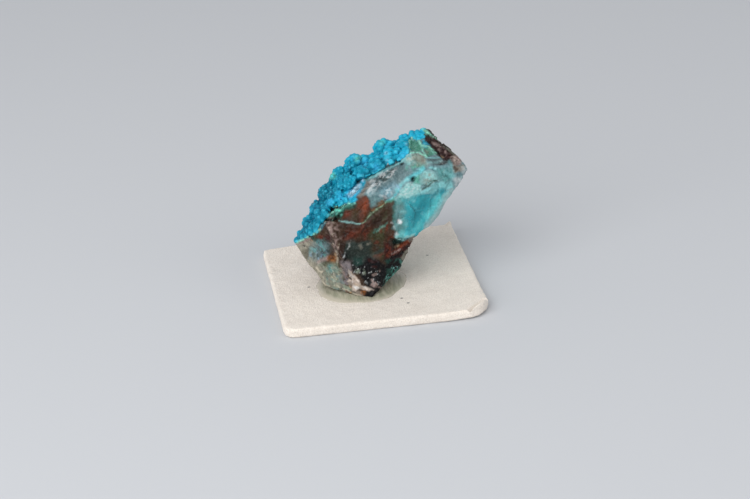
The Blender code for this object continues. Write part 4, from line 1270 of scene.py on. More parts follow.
    drawn_lie: Point = (0.87, 0.5, 0.2)
    hollow_rounds: int = 8
    hollow_depth: float = 0.12
    hollow_shade: float = 0.55
    edge_light: float = 0.35
    crack_seed: int = 22
    crack_size: float = 1.7
    crack_warp: Warp = (1.7, 0.34, 32)
    crack_fade: Spot = (0.08, 0.02)
    crack_shade: float = 0.3
    crack_evenness: float = 0.9
    shade_range: Spot = (0.12, 1.8)
    jasper_evenness: float = 0.6

    def block(self) -> bpy.types.Mesh:
        """Build the two blocks as overlapping bodies.

        Returns:
            Their mesh.
        """
        bm = bmesh.new()
        add_hull(bm, self.foot)
        add_hull(bm, self.upper)
        bmesh.ops.recalc_face_normals(bm, faces=bm.faces)
        return mesh_from(bm, "blocks")

    def share_inside(self, shown: np.ndarray, outline: tuple[Spot, ...], seed: int) -> np.ndarray:
        """Share of a mineral that runs through the stone within a wavy outline.

        Args:
            shown: display coordinates in millimetres.
            outline: the mineral's outline on the display side.
            seed: seed of the waves.

        Returns:
            A share from 0 to 1 for each point.
        """
        wave = Chance(seed).drift(shown, self.outline_wave_size, 3, 2)
        distance = zone(Hue.TEAL, *outline).distance(shown[:, :2] + self.outline_wave * wave)
        return smooth_step(self.outline_blur, -self.outline_blur, distance)

    def glass(self, shown: np.ndarray) -> np.ndarray:
        """Share of the glassy minerals, quartz and chalcedony, at each point."""
        return self.share_inside(shown, self.glass_outline, self.glass_seed)

    def teal(self, shown: np.ndarray) -> np.ndarray:
        """Share of the teal chalcedony at each point."""
        return self.share_inside(shown, self.teal_outline, self.teal_seed)

    def press(self, shown: np.ndarray) -> np.ndarray:
        """Work out the hollows and raised seams.

        Args:
            shown: display coordinates in millimetres.

        Returns:
            A height in millimetres for each point.
        """
        height = np.zeros(len(shown))
        for start, end, radius, depth in self.presses:
            reach = line_distance(shown, np.array(start), np.array(end)) / radius
            height -= depth * np.exp(-reach * reach)
        return height

    def warped(self, shown: np.ndarray, size: float, amount: float, seed: int) -> np.ndarray:
        """Points shifted by soft noise, so that what is drawn at them has natural edges."""
        return shown + amount * Chance(seed).drift(shown, size, 3)

    def front(self, surface: Surface) -> np.ndarray:
        """Share of the display side at each point, which its marks fade out with."""
        return smooth_step(*self.front_fade, surface.facing()[:, 2])

    def evenness(self, shown: np.ndarray) -> np.ndarray:
        """Share of its roughness that each point keeps: less on the iron-stained quartz in front."""
        calm = self.share_inside(shown, self.even_outline, self.even_seed)
        return 1.0 - (1.0 - self.even_share) * (calm * smooth_step(*self.even_fade, shown[:, 2]))

    def break_faces(self, surface: Surface) -> None:
        """Give the blocks their hackly, chipped faces.

        Args:
            surface: the fused blocks.
        """
        shown = surface.shown()
        chips = np.array([noise.voronoi(Vector(point) / self.chip_size)[0][0] for point in shown])
        surface.move(self.press(shown) + (self.chip_level - chips) * self.chip_height, self.floor)
        for size, rough, smooth, seed in self.facets:
            shown = surface.shown()
            glass, teal = self.glass(shown), self.teal(shown)
            bent = self.warped(shown, size, self.facet_warp * size, seed + self.facet_warp_seed)
            _, _, facet = Chance(seed).cells(bent, size)
            glassy = self.facet_quartz * rough * (1.0 - teal) + smooth * teal
            surface.move(facet * (rough * (1.0 - glass) + glassy * glass) * self.evenness(shown), self.floor)

    def raise_marks(self, surface: Surface) -> None:
        """Raise the veins and sink the facets that stand out of the broken faces.

        Args:
            surface: the chipped stone.
        """
        shown = surface.shown()
        front = self.front(surface)
        bent = self.warped(shown, *self.relief_warp)
        heights = np.zeros(len(shown))
        for patch in (*FOOT_MARKS, *UPPER_MARKS, *EDGE_MARKS):
            if patch.relief != 0.0:
                heights += patch.relief * patch.cover(bent)
        surface.move(heights * front, self.floor)

    def clouded(
        self, base: Hue, clouds: tuple[tuple[Hue, int, float, float, float], ...], shown: np.ndarray
    ) -> np.ndarray:
        """Lay clouds of minerals over a base colour.

        Args:
            base: colour that shows between the clouds.
            clouds: for each, its colour, seed, size in millimetres, and the noise between
                which it fades in.
            shown: display coordinates in millimetres.

        Returns:
            One linear colour for each point.
        """
        colours = np.tile(base.light(), (len(shown), 1))
        for hue, seed, size, low, high in clouds:
            colours = blend_colour(colours, hue, smooth_step(low, high, Chance(seed).cloud(shown, size, 3)))
        return colours

    def paint(self, surface: Surface) -> np.ndarray:
        """Colours of the stone: a mix of minerals all round, and the stains of its display side.

        Args:
            surface: the finished surface.

        Returns:
            One linear colour for each point.
        """
        shown = surface.shown()
        glass, teal = self.glass(shown), self.teal(shown)
        colours = self.clouded(Hue.GREY_BROWN, self.ore_clouds, shown)
        clear = self.clouded(Hue.QUARTZ, self.quartz_clouds, shown)
        milk = Chance(self.milk_seed).cloud(shown, self.milk_size, 3)
        clear = blend_colour(clear, Hue.TEAL, teal)
        clear = blend_colour(clear, Hue.DEEP_TEAL, teal * smooth_step(0.1, 0.8, milk))
        clear = blend_colour(clear, Hue.MILKY_TEAL, teal * smooth_step(0.1, 0.9, -milk))
        colours = colours + (clear - colours) * glass[:, None]
        front = self.front(surface)
        sharp = self.warped(shown, *self.sharp_warp)
        loose = self.warped(sharp, *self.loose_warp)
        for patch in (*FOOT_MARKS, *UPPER_MARKS, *EDGE_MARKS):
            points = loose if patch.filled and patch.relief == 0.0 else sharp
            colours = blend_colour(colours, patch.hue, patch.cover(points) * front)
        return self.weather(surface, colours, glass)

    def weather(self, surface: Surface, colours: np.ndarray, glass: np.ndarray) -> np.ndarray:
        """Mottle the colours, darken the cracks, paint shade into the hollows, and lighten the sharp edges
        with a painted highlight that also stands for wear.

        Args:
            surface: the finished surface.
            colours: its colours, one for each point.
            glass: share of the glassy minerals at each point.

        Returns:
            The weathered colours.
        """
        shown = surface.shown()
        even = self.evenness(shown)
        rough = 1.0 - self.calm_quartz * glass
        broad, fine, drawn = self.broad_mottle, self.fine_mottle, self.drawn_mottle
        mottle = broad[0] * even * Chance(broad[1]).cloud(shown, *broad[2:])
        mottle = mottle + fine[0] * Chance(fine[1]).cloud(shown, *fine[2:])
        along, down, narrow = self.drawn_lie
        across, up, toward = shown.T
        leaning = np.column_stack([across * along - up * down, (across + up) * narrow, toward])
        mottle = mottle + drawn[0] * Chance(drawn[1]).cloud(leaning, *drawn[2:])
        # Painted shade darkens the hollows; a painted highlight, which also stands for wear, lightens the
        # sharp edges
        hollow = surface.hollowness(self.hollow_rounds, self.hollow_depth)
        dark = self.hollow_shade * np.clip(hollow, 0.0, 1.0)
        shade = 1.0 + rough * (mottle - dark + self.edge_light * np.clip(-hollow, 0.0, 1.0))
        bent = self.warped(shown, *self.crack_warp)
        nearest, second, _ = Chance(self.crack_seed).cells(bent, self.crack_size)
        crack = smooth_step(*self.crack_fade, second - nearest) * (even > self.crack_evenness)
        shade = shade * (1.0 - self.crack_shade * rough * crack)
        return np.clip(colours * np.clip(shade, *self.shade_range)[:, None], 0.0, 1.0)

    def sort_faces(self, surface: Surface) -> None:
        """Give each face the material of the mineral that it lies on.

        Args:
            surface: the finished surface.
        """
        count = len(surface.mesh.polygons)
        centres = np.empty(count * 3)
        surface.mesh.polygons.foreach_get("center", centres)
        shown = AXES.shown(centres.reshape(-1, 3))
        glass, teal = self.glass(shown), self.teal(shown)
        stained = self.evenness(shown) < self.jasper_evenness
        slots = np.where(stained, StoneSlot.JASPER, StoneSlot.ORE)
        slots = np.where(glass > 0.5, StoneSlot.QUARTZ, slots)
        slots = np.where((glass > 0.5) & (teal > 0.5), StoneSlot.CHALCEDONY, slots)
        surface.mesh.polygons.foreach_set("material_index", slots.astype(np.int32))

    def build(self) -> bpy.types.Object:
        """Build the broken stone.

        Returns:
            The finished piece.
        """
        surface = Surface(fused(self.block(), self.cell))
        self.break_faces(surface)
        self.raise_marks(surface)
        surface.store("paint", self.paint(surface))
        for finish in (ORE_FINISH, JASPER_FINISH, CHALCEDONY_FINISH, QUARTZ_FINISH):
            surface.mesh.materials.append(finish.make())
        self.sort_faces(surface)
        surface.mesh.shade_smooth()
        return new_object("broken_stone", surface.mesh)


# Marks of the crust: greener and darker on its left tier, partly its own tone and partly painted shade;
# painted shade in its crevices and above the gap under its upper tier; painted highlights and glints on
# some lumps; pale or minty on others
CRUST_MARKS = (
    zone(Hue.CRUST_SHADE, (-20, 10), (-15.4, 22), (-11, 30), (-9, 24.5), (-10, 22.4), (-11, 16), edge=2.5,
        strength=0.6),
    zone(Hue.CRUST_SHADE, (-15.4, 21.8), (-13, 27.8), (-9.8, 29.8), (-9, 24.5), (-10, 22.4), (-13, 21.6),
        edge=0.8, strength=0.9),
    zone(Hue.CRUST_SHADE, (-9, 31.5), (-4.8, 30.6), (-4.6, 25.6), (-9, 25), edge=1, strength=0.55),
    # Painted shade: darker blue at the low left, in the crevices and along the gap under the upper tier
    zone(Hue.CRUST_PAINTED_SHADE, (-20, 11), (-14.4, 22), (-12.5, 21), (-17, 12), edge=1.5, strength=0.35),
    streak(Hue.PINK_GREY, 0.5, (-14.5, 22.4), (-13.6, 24.6), (-12.6, 27.2), strength=0.3),
    streak(Hue.CRUST_PAINTED_SHADE, 0.5, (-9.7, 24), (-9.7, 27.5), edge=0.3, strength=0.8),
    streak(Hue.CRUST_PAINTED_SHADE, 0.8, (-9.6, 23.4), edge=0.4),
    streak(Hue.CRUST_PAINTED_SHADE, 0.7, (-12.8, 23), edge=0.4),
    streak(Hue.CRUST_PAINTED_SHADE, 0.5, (-10.6, 20.4), (-9.8, 19.8), (-9.2, 19.6), edge=0.3),
    streak(Hue.CRUST_PAINTED_SHADE, 0.7, (-4.8, 31.6), (-4.8, 30.2), edge=0.4),
    streak(Hue.CRUST_PAINTED_SHADE, 1, (-2, 29.2), (1, 30.2), (4, 31.5), (6.6, 32.5), edge=0.5, strength=0.6),
    streak(Hue.MINT, 1.7, (-9.6, 29.2), edge=0.7, strength=0.85),
    streak(Hue.MINT, 1.7, (-3, 33.6), edge=0.8, strength=0.8),
    streak(Hue.MINT, 1.6, (3, 37.8), edge=0.7, strength=0.45),
    # Painted shade on the lower part of the upper tier, just above the gap
    zone(Hue.CRUST_SHADE, (-5, 31.8), (-2.4, 33), (2, 33.4), (6, 34), (8.4, 33.6), (3, 30.6), (-2.2, 28.8),
        edge=1.2, strength=0.55),
    streak(Hue.CRUST_BRIGHT, 2, (-7.4, 23.8), edge=1, strength=0.7),
    streak(Hue.CRUST_BRIGHT, 2, (-10, 22.3), edge=0.8, strength=0.6),
    streak(Hue.CRUST_BRIGHT, 2.2, (-1.4, 32.6), edge=1, strength=0.6),
    streak(Hue.CRUST_BRIGHT, 1.6, (1.3, 31.4), edge=0.6, strength=0.8),
    streak(Hue.CRUST_BRIGHT, 2.4, (8.4, 34), edge=1, strength=0.6),
    # Painted highlights and glints on single lumps
    streak(Hue.CRUST_PAINTED_HIGHLIGHT, 1.4, (5, 32.6), (4.4, 33.6), edge=0.6, strength=0.6),
    streak(Hue.ICE_AND_PAINTED_GLINT, 0.7, (9.1, 37), edge=0.4, strength=0.8),
    streak(Hue.ICE_AND_PAINTED_GLINT, 0.8, (4, 34.8), edge=0.5, strength=0.7),
    streak(Hue.CRUST_PAINTED_HIGHLIGHT, 0.6, (5.4, 37.8), edge=0.3, strength=0.7),
    streak(Hue.CRUST_PAINTED_HIGHLIGHT, 0.6, (6.3, 35.1), edge=0.3, strength=0.9),
    streak(Hue.ICE_AND_PAINTED_GLINT, 0.5, (4.4, 33), edge=0.3, strength=0.5),
    streak(Hue.PALE_GREEN, 0.6, (13, 41.2), (14.8, 39.9), (16.5, 38.7), edge=0.3),
    streak(Hue.PALE_GREEN, 0.5, (-18.5, 12.4), (-16, 13.4), (-14, 14.4), (-12.5, 15.4), edge=0.4,
        strength=0.8),
    streak(Hue.PALE_GREEN, 1, (-10.2, 19), (-8.6, 19.8), edge=0.5, strength=0.6),
    streak(Hue.MINT, 1.2, (-7.9, 20.5), edge=0.5, strength=0.8),
    streak(Hue.PALE_TEAL, 0.5, (8.6, 33), (9.8, 34.4), (9.8, 38.4), edge=0.4, strength=0.7),
)


@dataclass
class ChrysocollaCrust:
    """Grape-like crust on the slope: swellings, lumps on them, and small grapes on the lumps."""

    swellings: tuple[tuple[float, float, float, float], ...] = (
        (13.2, 39.4, -4, 1.9), (8.9, 37.3, -4.6, 2.2), (3.9, 35.6, -4.2, 2.9), (-0.2, 32.6, -3.6, 2.2),
        (-3.8, 31.8, -3.6, 2.8), (-7.6, 28.8, -2.8, 2.5), (-10.3, 24.7, -2.4, 2.4),
        (-12.7, 20.6, -1.8, 2.2), (-14.7, 17.3, -1.6, 1.8), (-16.8, 14, -1.8, 1.5), (-1.6, 28.9, 2, 2.4),
        (2, 31.2, 1.8, 2.6), (5.8, 33.6, 0.8, 2.6), (8.4, 35.6, -0.2, 2), (-5.4, 27, 2.6, 2.5),
        (-8.4, 23.2, 3, 2.2), (-11.6, 19.4, 3.2, 1.9), (-14.4, 15.6, 2, 1.6), (11, 38.7, -4.6, 1.7),
    )
    outline: tuple[Point, ...] = (
        (-19, 12.2, -2), (-14.6, 14.6, 3), (-10.7, 18, 7.4), (-6.2, 22, 8), (-2.2, 25.1, 8), (2.3, 29, 7),
        (7.4, 33, 6), (10.3, 35.9, 4.4), (14.4, 40.6, -2.5), (13.6, 39.4, -9), (9.2, 36.6, -10.6),
        (2.8, 34.4, -11), (-4, 30.8, -10.4), (-8.6, 27, -9.4), (-12.4, 21, -7.4), (-15.4, 16.6, -6),
        (-18.2, 13.8, -4),
    )
    bare: tuple[Spot, ...] = (
        (-19.5, 12), (-16, 13.1), (-14, 14.1), (-12.5, 15.1), (-11.6, 16), (-11.2, 18), (-9.4, 19),
        (-8.6, 20.8), (-6.8, 21.6), (-5.4, 22.6), (-6, 24.4), (-4, 26.6), (-3.7, 28.2), (-2.6, 28.7),
        (-0.8, 28.8), (0.6, 29.2), (3, 30.5), (6.4, 32.3), (8.8, 33.1), (9.8, 34.8), (9.8, 38.4),
        (10.6, 39), (12.6, 37.4), (13.8, 37.4), (14.3, 38.6), (15, 40.2), (30, 40), (30, -10), (-30, -10),
        (-30, 12),
    )
    leaders: tuple[tuple[float, float, float], ...] = (
        (3.5, 37.7, 1.15), (5.2, 37.6, 0.95), (-3.3, 34, 1.2), (-5.2, 33.2, 1.1), (-7.5, 30.6, 1.3),
        (-5.8, 30.9, 0.9), (-9.5, 29.2, 0.8), (-1.1, 33, 0.9), (0.8, 35.5, 1), (2.4, 35.8, 1),
        (-1.1, 31.2, 1), (1.1, 31.8, 0.95), (-3.3, 30.6, 1.2), (-0.1, 30.3, 0.9), (-1.9, 29.6, 0.9),
        (2.4, 32.1, 0.8), (4.3, 33, 1), (3, 31.2, 0.75), (5.5, 33.7, 0.9), (4.1, 34.9, 0.85),
        (2, 34.2, 0.9), (6.5, 35.5, 0.9), (8, 37.8, 0.9), (9.1, 36.9, 0.8), (7.7, 34.9, 0.8),
        (9.6, 38.9, 0.85), (10.6, 39.5, 0.7), (-12.3, 26.1, 0.9), (-13.6, 23.2, 0.9), (-9.5, 22.4, 1),
        (-4.8, 28.6, 0.8), (-4.9, 27, 0.75), (11.6, 39.4, 0.8), (12.9, 39.6, 0.9), (12.2, 38.3, 0.7),
    )
    facing: Point = (-0.61, 0.68, 0.41)
    flatness: float = 0.85
    lump_spacing: float = 1.75
    lump_small: float = 0.75
    lump_large: float = 1.3
    lump_shake: float = 0.3
    lump_sink: float = 0.3
    lump_seed: int = 11
    drop_height: float = 40.0
    leader_sink: float = 0.25
    skin_cell: float = 0.36
    grape_spacing: float = 1.3
    grape_small: float = 0.6
    grape_large: float = 1.05
    grape_sink: float = 0.45
    grape_seed: int = 12
    fine_spacing: float = 0.8
    fine_share: float = 0.58
    bump_size: float = 0.62
    bump_height: float = 0.09
    bump_height_fine: float = 0.18
    trim_margin: float = 0.1
    trim_slope: float = 2.6
    trim_wave: float = 0.2
    cell: float = 0.15
    hidden_depth: float = 0.5
    hidden_share: float = 0.16
    hidden_start: float = 0.6
    clear_share: float = 0.2
    grape_depth: float = 0.4
    fine_across: Spot = (-2.6, -4.6)
    fine_up: Spot = (20.0, 22.5)
    bump_seed: int = 56
    bump_level: float = 0.3
    skin_seed: int = 55
    skin_size: float = 0.6
    skin_height: float = 0.03
    trim_seed: int = 57
    trim_wave_size: float = 1.5
    trim_fade: Spot = (-5.0, -2.0)
    clouds: tuple[tuple[Hue, float, float, float, int, float], ...] = (
        (Hue.CRUST_SHADE, 0.6, 0.0, 0.9, 51, 4.0), (Hue.CRUST_BRIGHT, 0.35, 0.2, 1.0, 50, 1.4),
    )
    stain_warp: float = 0.25
    stain_warp_size: float = 1.0
    stain_seed: int = 52
    front_fade: Spot = (-0.1, 0.2)
    near_relief: tuple[int, float] = (30, 0.22)
    wide_relief: tuple[int, float] = (120, 0.6)
    # Painted highlight on the tips of the lumps and grapes, and painted shade in the hollows between them
    tip_painted_highlights: tuple[tuple[Hue, float, float, float], ...] = (
        (Hue.CRUST_PAINTED_HIGHLIGHT, 0.5, 0.2, 1.0), (Hue.CRUST_PAINTED_HIGHLIGHT, 0.25, 0.2, 1.0),
    )
    hollow_painted_shades: tuple[tuple[Hue, float, float, float], ...] = (
        (Hue.CRUST_PAINTED_SHADE, 0.6, 0.05, 0.8), (Hue.CRUST_PAINTED_SHADE, 0.8, 0.0, 0.8),
    )

    def direction(self) -> Vector:
        """Direction that the slope faces, in display axes."""
        return Vector(self.facing).normalized()

    def turned(self) -> Matrix:
        """Rotation whose Z is the direction that the slope faces."""
        return (AXES.matrix().to_3x3() @ self.direction()).to_track_quat("Z", "Y").to_matrix()

    def inside(self, x: float, y: float, corners: list[Spot]) -> bool:
        """Find whether a flat point lies inside the crust's outline.

        Args:
            x: its place along the slope.
            y: its place up the slope.
            corners: the outline's corners, along and up the slope.

        Returns:
            True inside the outline.
        """
        inside = False
        last_x, last_y = corners[-1]
        for next_x, next_y in corners:
            if (next_y > y) != (last_y > y):
                if x < next_x + (y - next_y) * (last_x - next_x) / (last_y - next_y):
                    inside = not inside
            last_x, last_y = next_x, next_y
        return inside

    def lumps(self, ground: BVHTree) -> tuple[np.ndarray, np.ndarray]:
        """Rows of lumps, shaken out of line and settled on the ground.

        Args:
            ground: the blocks and swellings that the lumps grow on.

        Returns:
            Centres and radii in metres.
        """
        chance = random.Random(self.lump_seed)
        facing = self.direction()
        along = facing.cross(Vector((0, 0, 1))).normalized()
        upslope = facing.cross(along)
        corners = [(Vector(point).dot(along), Vector(point).dot(upslope)) for point in self.outline]
        low_x, high_x = min(corner[0] for corner in corners), max(corner[0] for corner in corners)
        low_y, high_y = min(corner[1] for corner in corners), max(corner[1] for corner in corners)
        pitch = self.lump_spacing * math.sqrt(3) / 2
        shake = self.lump_shake * self.lump_spacing
        drop = -(AXES.matrix().to_3x3() @ facing)
        centres = []
        radii = []
        for row in range(math.ceil((high_y - low_y) / pitch)):
            y = low_y + (row + 0.5) * pitch
            row_start = low_x + self.lump_spacing / 2 * (row % 2)
            for column in range(math.ceil((high_x - row_start) / self.lump_spacing)):
                flat_x = row_start + column * self.lump_spacing + chance.uniform(-shake, shake)
                flat_y = y + chance.uniform(-shake, shake)
                radius = chance.uniform(self.lump_small, self.lump_large)
                if not self.inside(flat_x, flat_y, corners):
                    continue
                above = along * flat_x + upslope * flat_y + facing * self.drop_height
                hit, normal, _, _ = ground.ray_cast(AXES.place(*above), drop)
                if hit is not None:
                    centres.append(hit - normal * radius * self.lump_sink * MM)
                    radii.append(radius * MM)
        return np.array(centres), np.array(radii)

    def kept_clear(self, centres: np.ndarray, radii: np.ndarray) -> np.ndarray:
        """Whether each ball stays off the bare stone of the display side.

        Args:
            centres: centres of the balls in metres.
            radii: their radii in metres.

        Returns:
            One truth value for each ball.
        """
        shown = AXES.shown(centres)
        return zone(Hue.CRUST_MID, *self.bare).distance(shown[:, :2]) > self.clear_share * radii / MM

    def lead_lumps(self, ground: BVHTree) -> tuple[np.ndarray, np.ndarray]:
        """Settle the most visible lumps on the ground from the viewer's side.

        Args:
            ground: the blocks and swellings that the lumps grow on.

        Returns:
            Centres and radii in metres.
        """
        away = -(AXES.matrix().to_3x3() @ Vector((0, 0, 1)))
        centres = []
        radii = []
        for across, up, radius in self.leaders:
            hit, normal, _, _ = ground.ray_cast(AXES.place(across, up, self.drop_height), away)
            if hit is not None:
                centres.append(hit - normal * radius * self.leader_sink * MM)
                radii.append(radius * MM)
        return np.array(centres), np.array(radii)

    def spread(self, points: np.ndarray, spacing: np.ndarray) -> list[int]:
        """Pick points that keep their distance from each other.

        Args:
            points: where one may be picked, in metres.
            spacing: least distance from each point to a picked one, in metres.

        Returns:
            Places of the picked points in the array.
        """
        order = list(range(len(points)))
        random.Random(self.grape_seed).shuffle(order)
        taken: dict[tuple[int, int, int], list[int]] = {}
        picked = []
        homes = np.floor(points / spacing.max()).astype(int)
        steps = [(i - 1, j - 1, k - 1) for i, j, k in np.ndindex(3, 3, 3)]
        for index in order:
            x, y, z = homes[index]
            near = [other for i, j, k in steps for other in taken.get((x + i, y + j, z + k), ())]
            if near and np.min(np.linalg.norm(points[near] - points[index], axis=1)) < spacing[index]:
                continue
            taken.setdefault((x, y, z), []).append(index)
            picked.append(index)
        return picked

    def depths(self, points: np.ndarray, block: BVHTree) -> np.ndarray:
        """Measure how deep points lie in the broken stone's blocks.

        Args:
            points: places in metres.
            block: the broken stone's blocks.

        Returns:
            Depths in millimetres, positive inside.
        """
        depths = []
        for point in points:
            spot, normal, _, _ = block.find_nearest(Vector(point))
            depths.append((spot - Vector(point)).dot(normal) / MM)
        return np.array(depths)

    def fineness(self, shown: np.ndarray) -> np.ndarray:
        """Share of the fine-grained left tier at points in display coordinates."""
        return smooth_step(*self.fine_across, shown[:, 0]) * smooth_step(*self.fine_up, shown[:, 1])

    def roughen(self, surface: Surface) -> None:
        """Cover the grapes with small round bumps, higher on the fine-grained tier.

        Args:
            surface: the fused crust.
        """
        shown = surface.shown()
        nearest, _, _ = Chance(self.bump_seed).cells(shown, self.bump_size)
        height = self.bump_height + (self.bump_height_fine - self.bump_height) * self.fineness(shown)
        skin = self.skin_height * Chance(self.skin_seed).cloud(shown, self.skin_size, 2)
        surface.move(height * (self.bump_level - nearest**2) + skin)

    def trim(self, surface: Surface) -> None:
        """Cut the crust back into the stone below its lower edge on the display side.

        Args:
            surface: the fused crust.
        """
        shown = surface.shown()
        wave = Chance(self.trim_seed).drift(shown, self.trim_wave_size, 2, 2)
        distance = zone(Hue.CRUST_MID, *self.bare).distance(shown[:, :2] + self.trim_wave * wave)
        over = np.maximum(self.trim_margin - distance, 0.0) * smooth_step(*self.trim_fade, shown[:, 2])
        away = -np.array(AXES.matrix().to_3x3() @ Vector((0, 0, 1)))
        surface.put(surface.places + (over * self.trim_slope * MM)[:, None] * away)

    def grapes(self, skin: bpy.types.Mesh, block: BVHTree) -> tuple[np.ndarray, np.ndarray]:
        """Small grapes all over the lumps, finer on the left tier.

        Args:
            skin: fused mesh of the swellings and lumps.
            block: the broken stone's blocks.

        Returns:
            Centres and radii in metres.
        """
        surface = Surface(skin)
        clear = np.nonzero(self.depths(surface.places, block) < self.grape_depth)[0]
        points = surface.places[clear]
        shown = AXES.shown(points)
        fine = self.fineness(shown)
        spacing = (self.grape_spacing + (self.fine_spacing - self.grape_spacing) * fine) * MM
        picked = self.spread(points, spacing)
        chance = random.Random(self.grape_seed)
        radii = np.array([chance.uniform(self.grape_small, self.grape_large) for _ in picked]) * MM
        radii = radii * (1.0 + (self.fine_share - 1.0) * fine[picked])
        centres = points[picked] - surface.normals[clear][picked] * (radii * self.grape_sink)[:, None]
        kept = self.kept_clear(centres, radii)
        return centres[kept], radii[kept]

    def thinned(self, mesh: bpy.types.Mesh, block: BVHTree) -> bpy.types.Mesh:
        """Take faces away where the crust is hidden inside the broken stone.

        Args:
            mesh: the fused crust.
            block: the broken stone's blocks.

        Returns:
            The crust with fewer hidden faces.
        """
        obj = new_object("crust", mesh)
        surface = Surface(mesh)
        start = self.hidden_start * self.hidden_depth
        hidden = smooth_step(start, self.hidden_depth, self.depths(surface.places, block))
        group = obj.vertex_groups.new(name="hidden")
        inside = np.nonzero(hidden > 0.5)[0]
        group.add(inside.tolist(), 1.0, "REPLACE")
        share = len(inside) / len(hidden)
        thin = obj.modifiers.new("fewer hidden faces", "DECIMATE")
        thin.ratio = 1.0 - share * (1.0 - self.hidden_share)
        thin.vertex_group = "hidden"
        return evaluated_mesh(obj)

    def paint(self, surface: Surface) -> np.ndarray:
        """Colours of the crust: painted shade in its hollows, painted highlight on its tips, and greener at
        its rim.

        Args:
            surface: the finished surface.

        Returns:
            One linear colour for each point.
        """
        shown = surface.shown()
        near = surface.hollowness(*self.near_relief)
        wide = surface.hollowness(*self.wide_relief)
        colours = np.tile(Hue.CRUST_MID.light(), (len(shown), 1))
        for hue, share, low, high, seed, size in self.clouds:
            cloud = Chance(seed).cloud(shown, size, 2)
            colours = blend_colour(colours, hue, share * smooth_step(low, high, cloud))
        bent = shown + self.stain_warp * Chance(self.stain_seed).drift(shown, self.stain_warp_size, 2)
        front = smooth_step(*self.front_fade, surface.facing()[:, 2])
        for patch in CRUST_MARKS:
            colours = blend_colour(colours, patch.hue, patch.cover(bent) * front)
        # Painted light: tips are lightened as a painted highlight and hollows darkened as painted shade
        painted_light_tints = self.tip_painted_highlights + self.hollow_painted_shades
        for (hue, share, low, high), relief in zip(painted_light_tints, (-near, -wide, near, wide)):
            colours = blend_colour(colours, hue, share * smooth_step(low, high, relief))
        return colours

    def build(self, blocks: bpy.types.Mesh) -> bpy.types.Object:
        """Build the crust.

        Args:
            blocks: the broken stone's blocks, which it grows on.

        Returns:
            The finished piece.
        """
        swell_centres = np.array([AXES.place(*swelling[:3]) for swelling in self.swellings])
        swell_radii = np.array([swelling[3] * MM for swelling in self.swellings])
        swollen = balls_mesh(swell_centres, swell_radii, self.turned(), self.flatness)
        ground_tree = search_tree(joined([blocks, swollen]))
        lump_centres, lump_radii = self.lumps(ground_tree)
        kept = self.kept_clear(lump_centres, lump_radii)
        leader_centres, leader_radii = self.lead_lumps(ground_tree)
        lump_centres = np.concatenate([lump_centres[kept], leader_centres])
        lump_radii = np.concatenate([lump_radii[kept], leader_radii])
        lumpy = balls_mesh(lump_centres, lump_radii, self.turned(), 1.0)
        skin = fused(joined([swollen, lumpy]), self.skin_cell)
        block_tree = search_tree(blocks)
        grape_centres, grape_radii = self.grapes(skin, block_tree)
        grapes = balls_mesh(grape_centres, grape_radii, self.turned(), 1.0)
        surface = Surface(self.thinned(fused(joined([swollen, lumpy, grapes]), self.cell), block_tree))
        self.roughen(surface)
        self.trim(surface)
        surface.store("paint", self.paint(surface))
        surface.mesh.materials.append(CRUST_FINISH.make())
        surface.mesh.shade_smooth()
        LOG.info("crust has %d lumps and %d grapes", len(lump_radii), len(grape_radii))
        return new_object("chrysocolla_crust", surface.mesh)


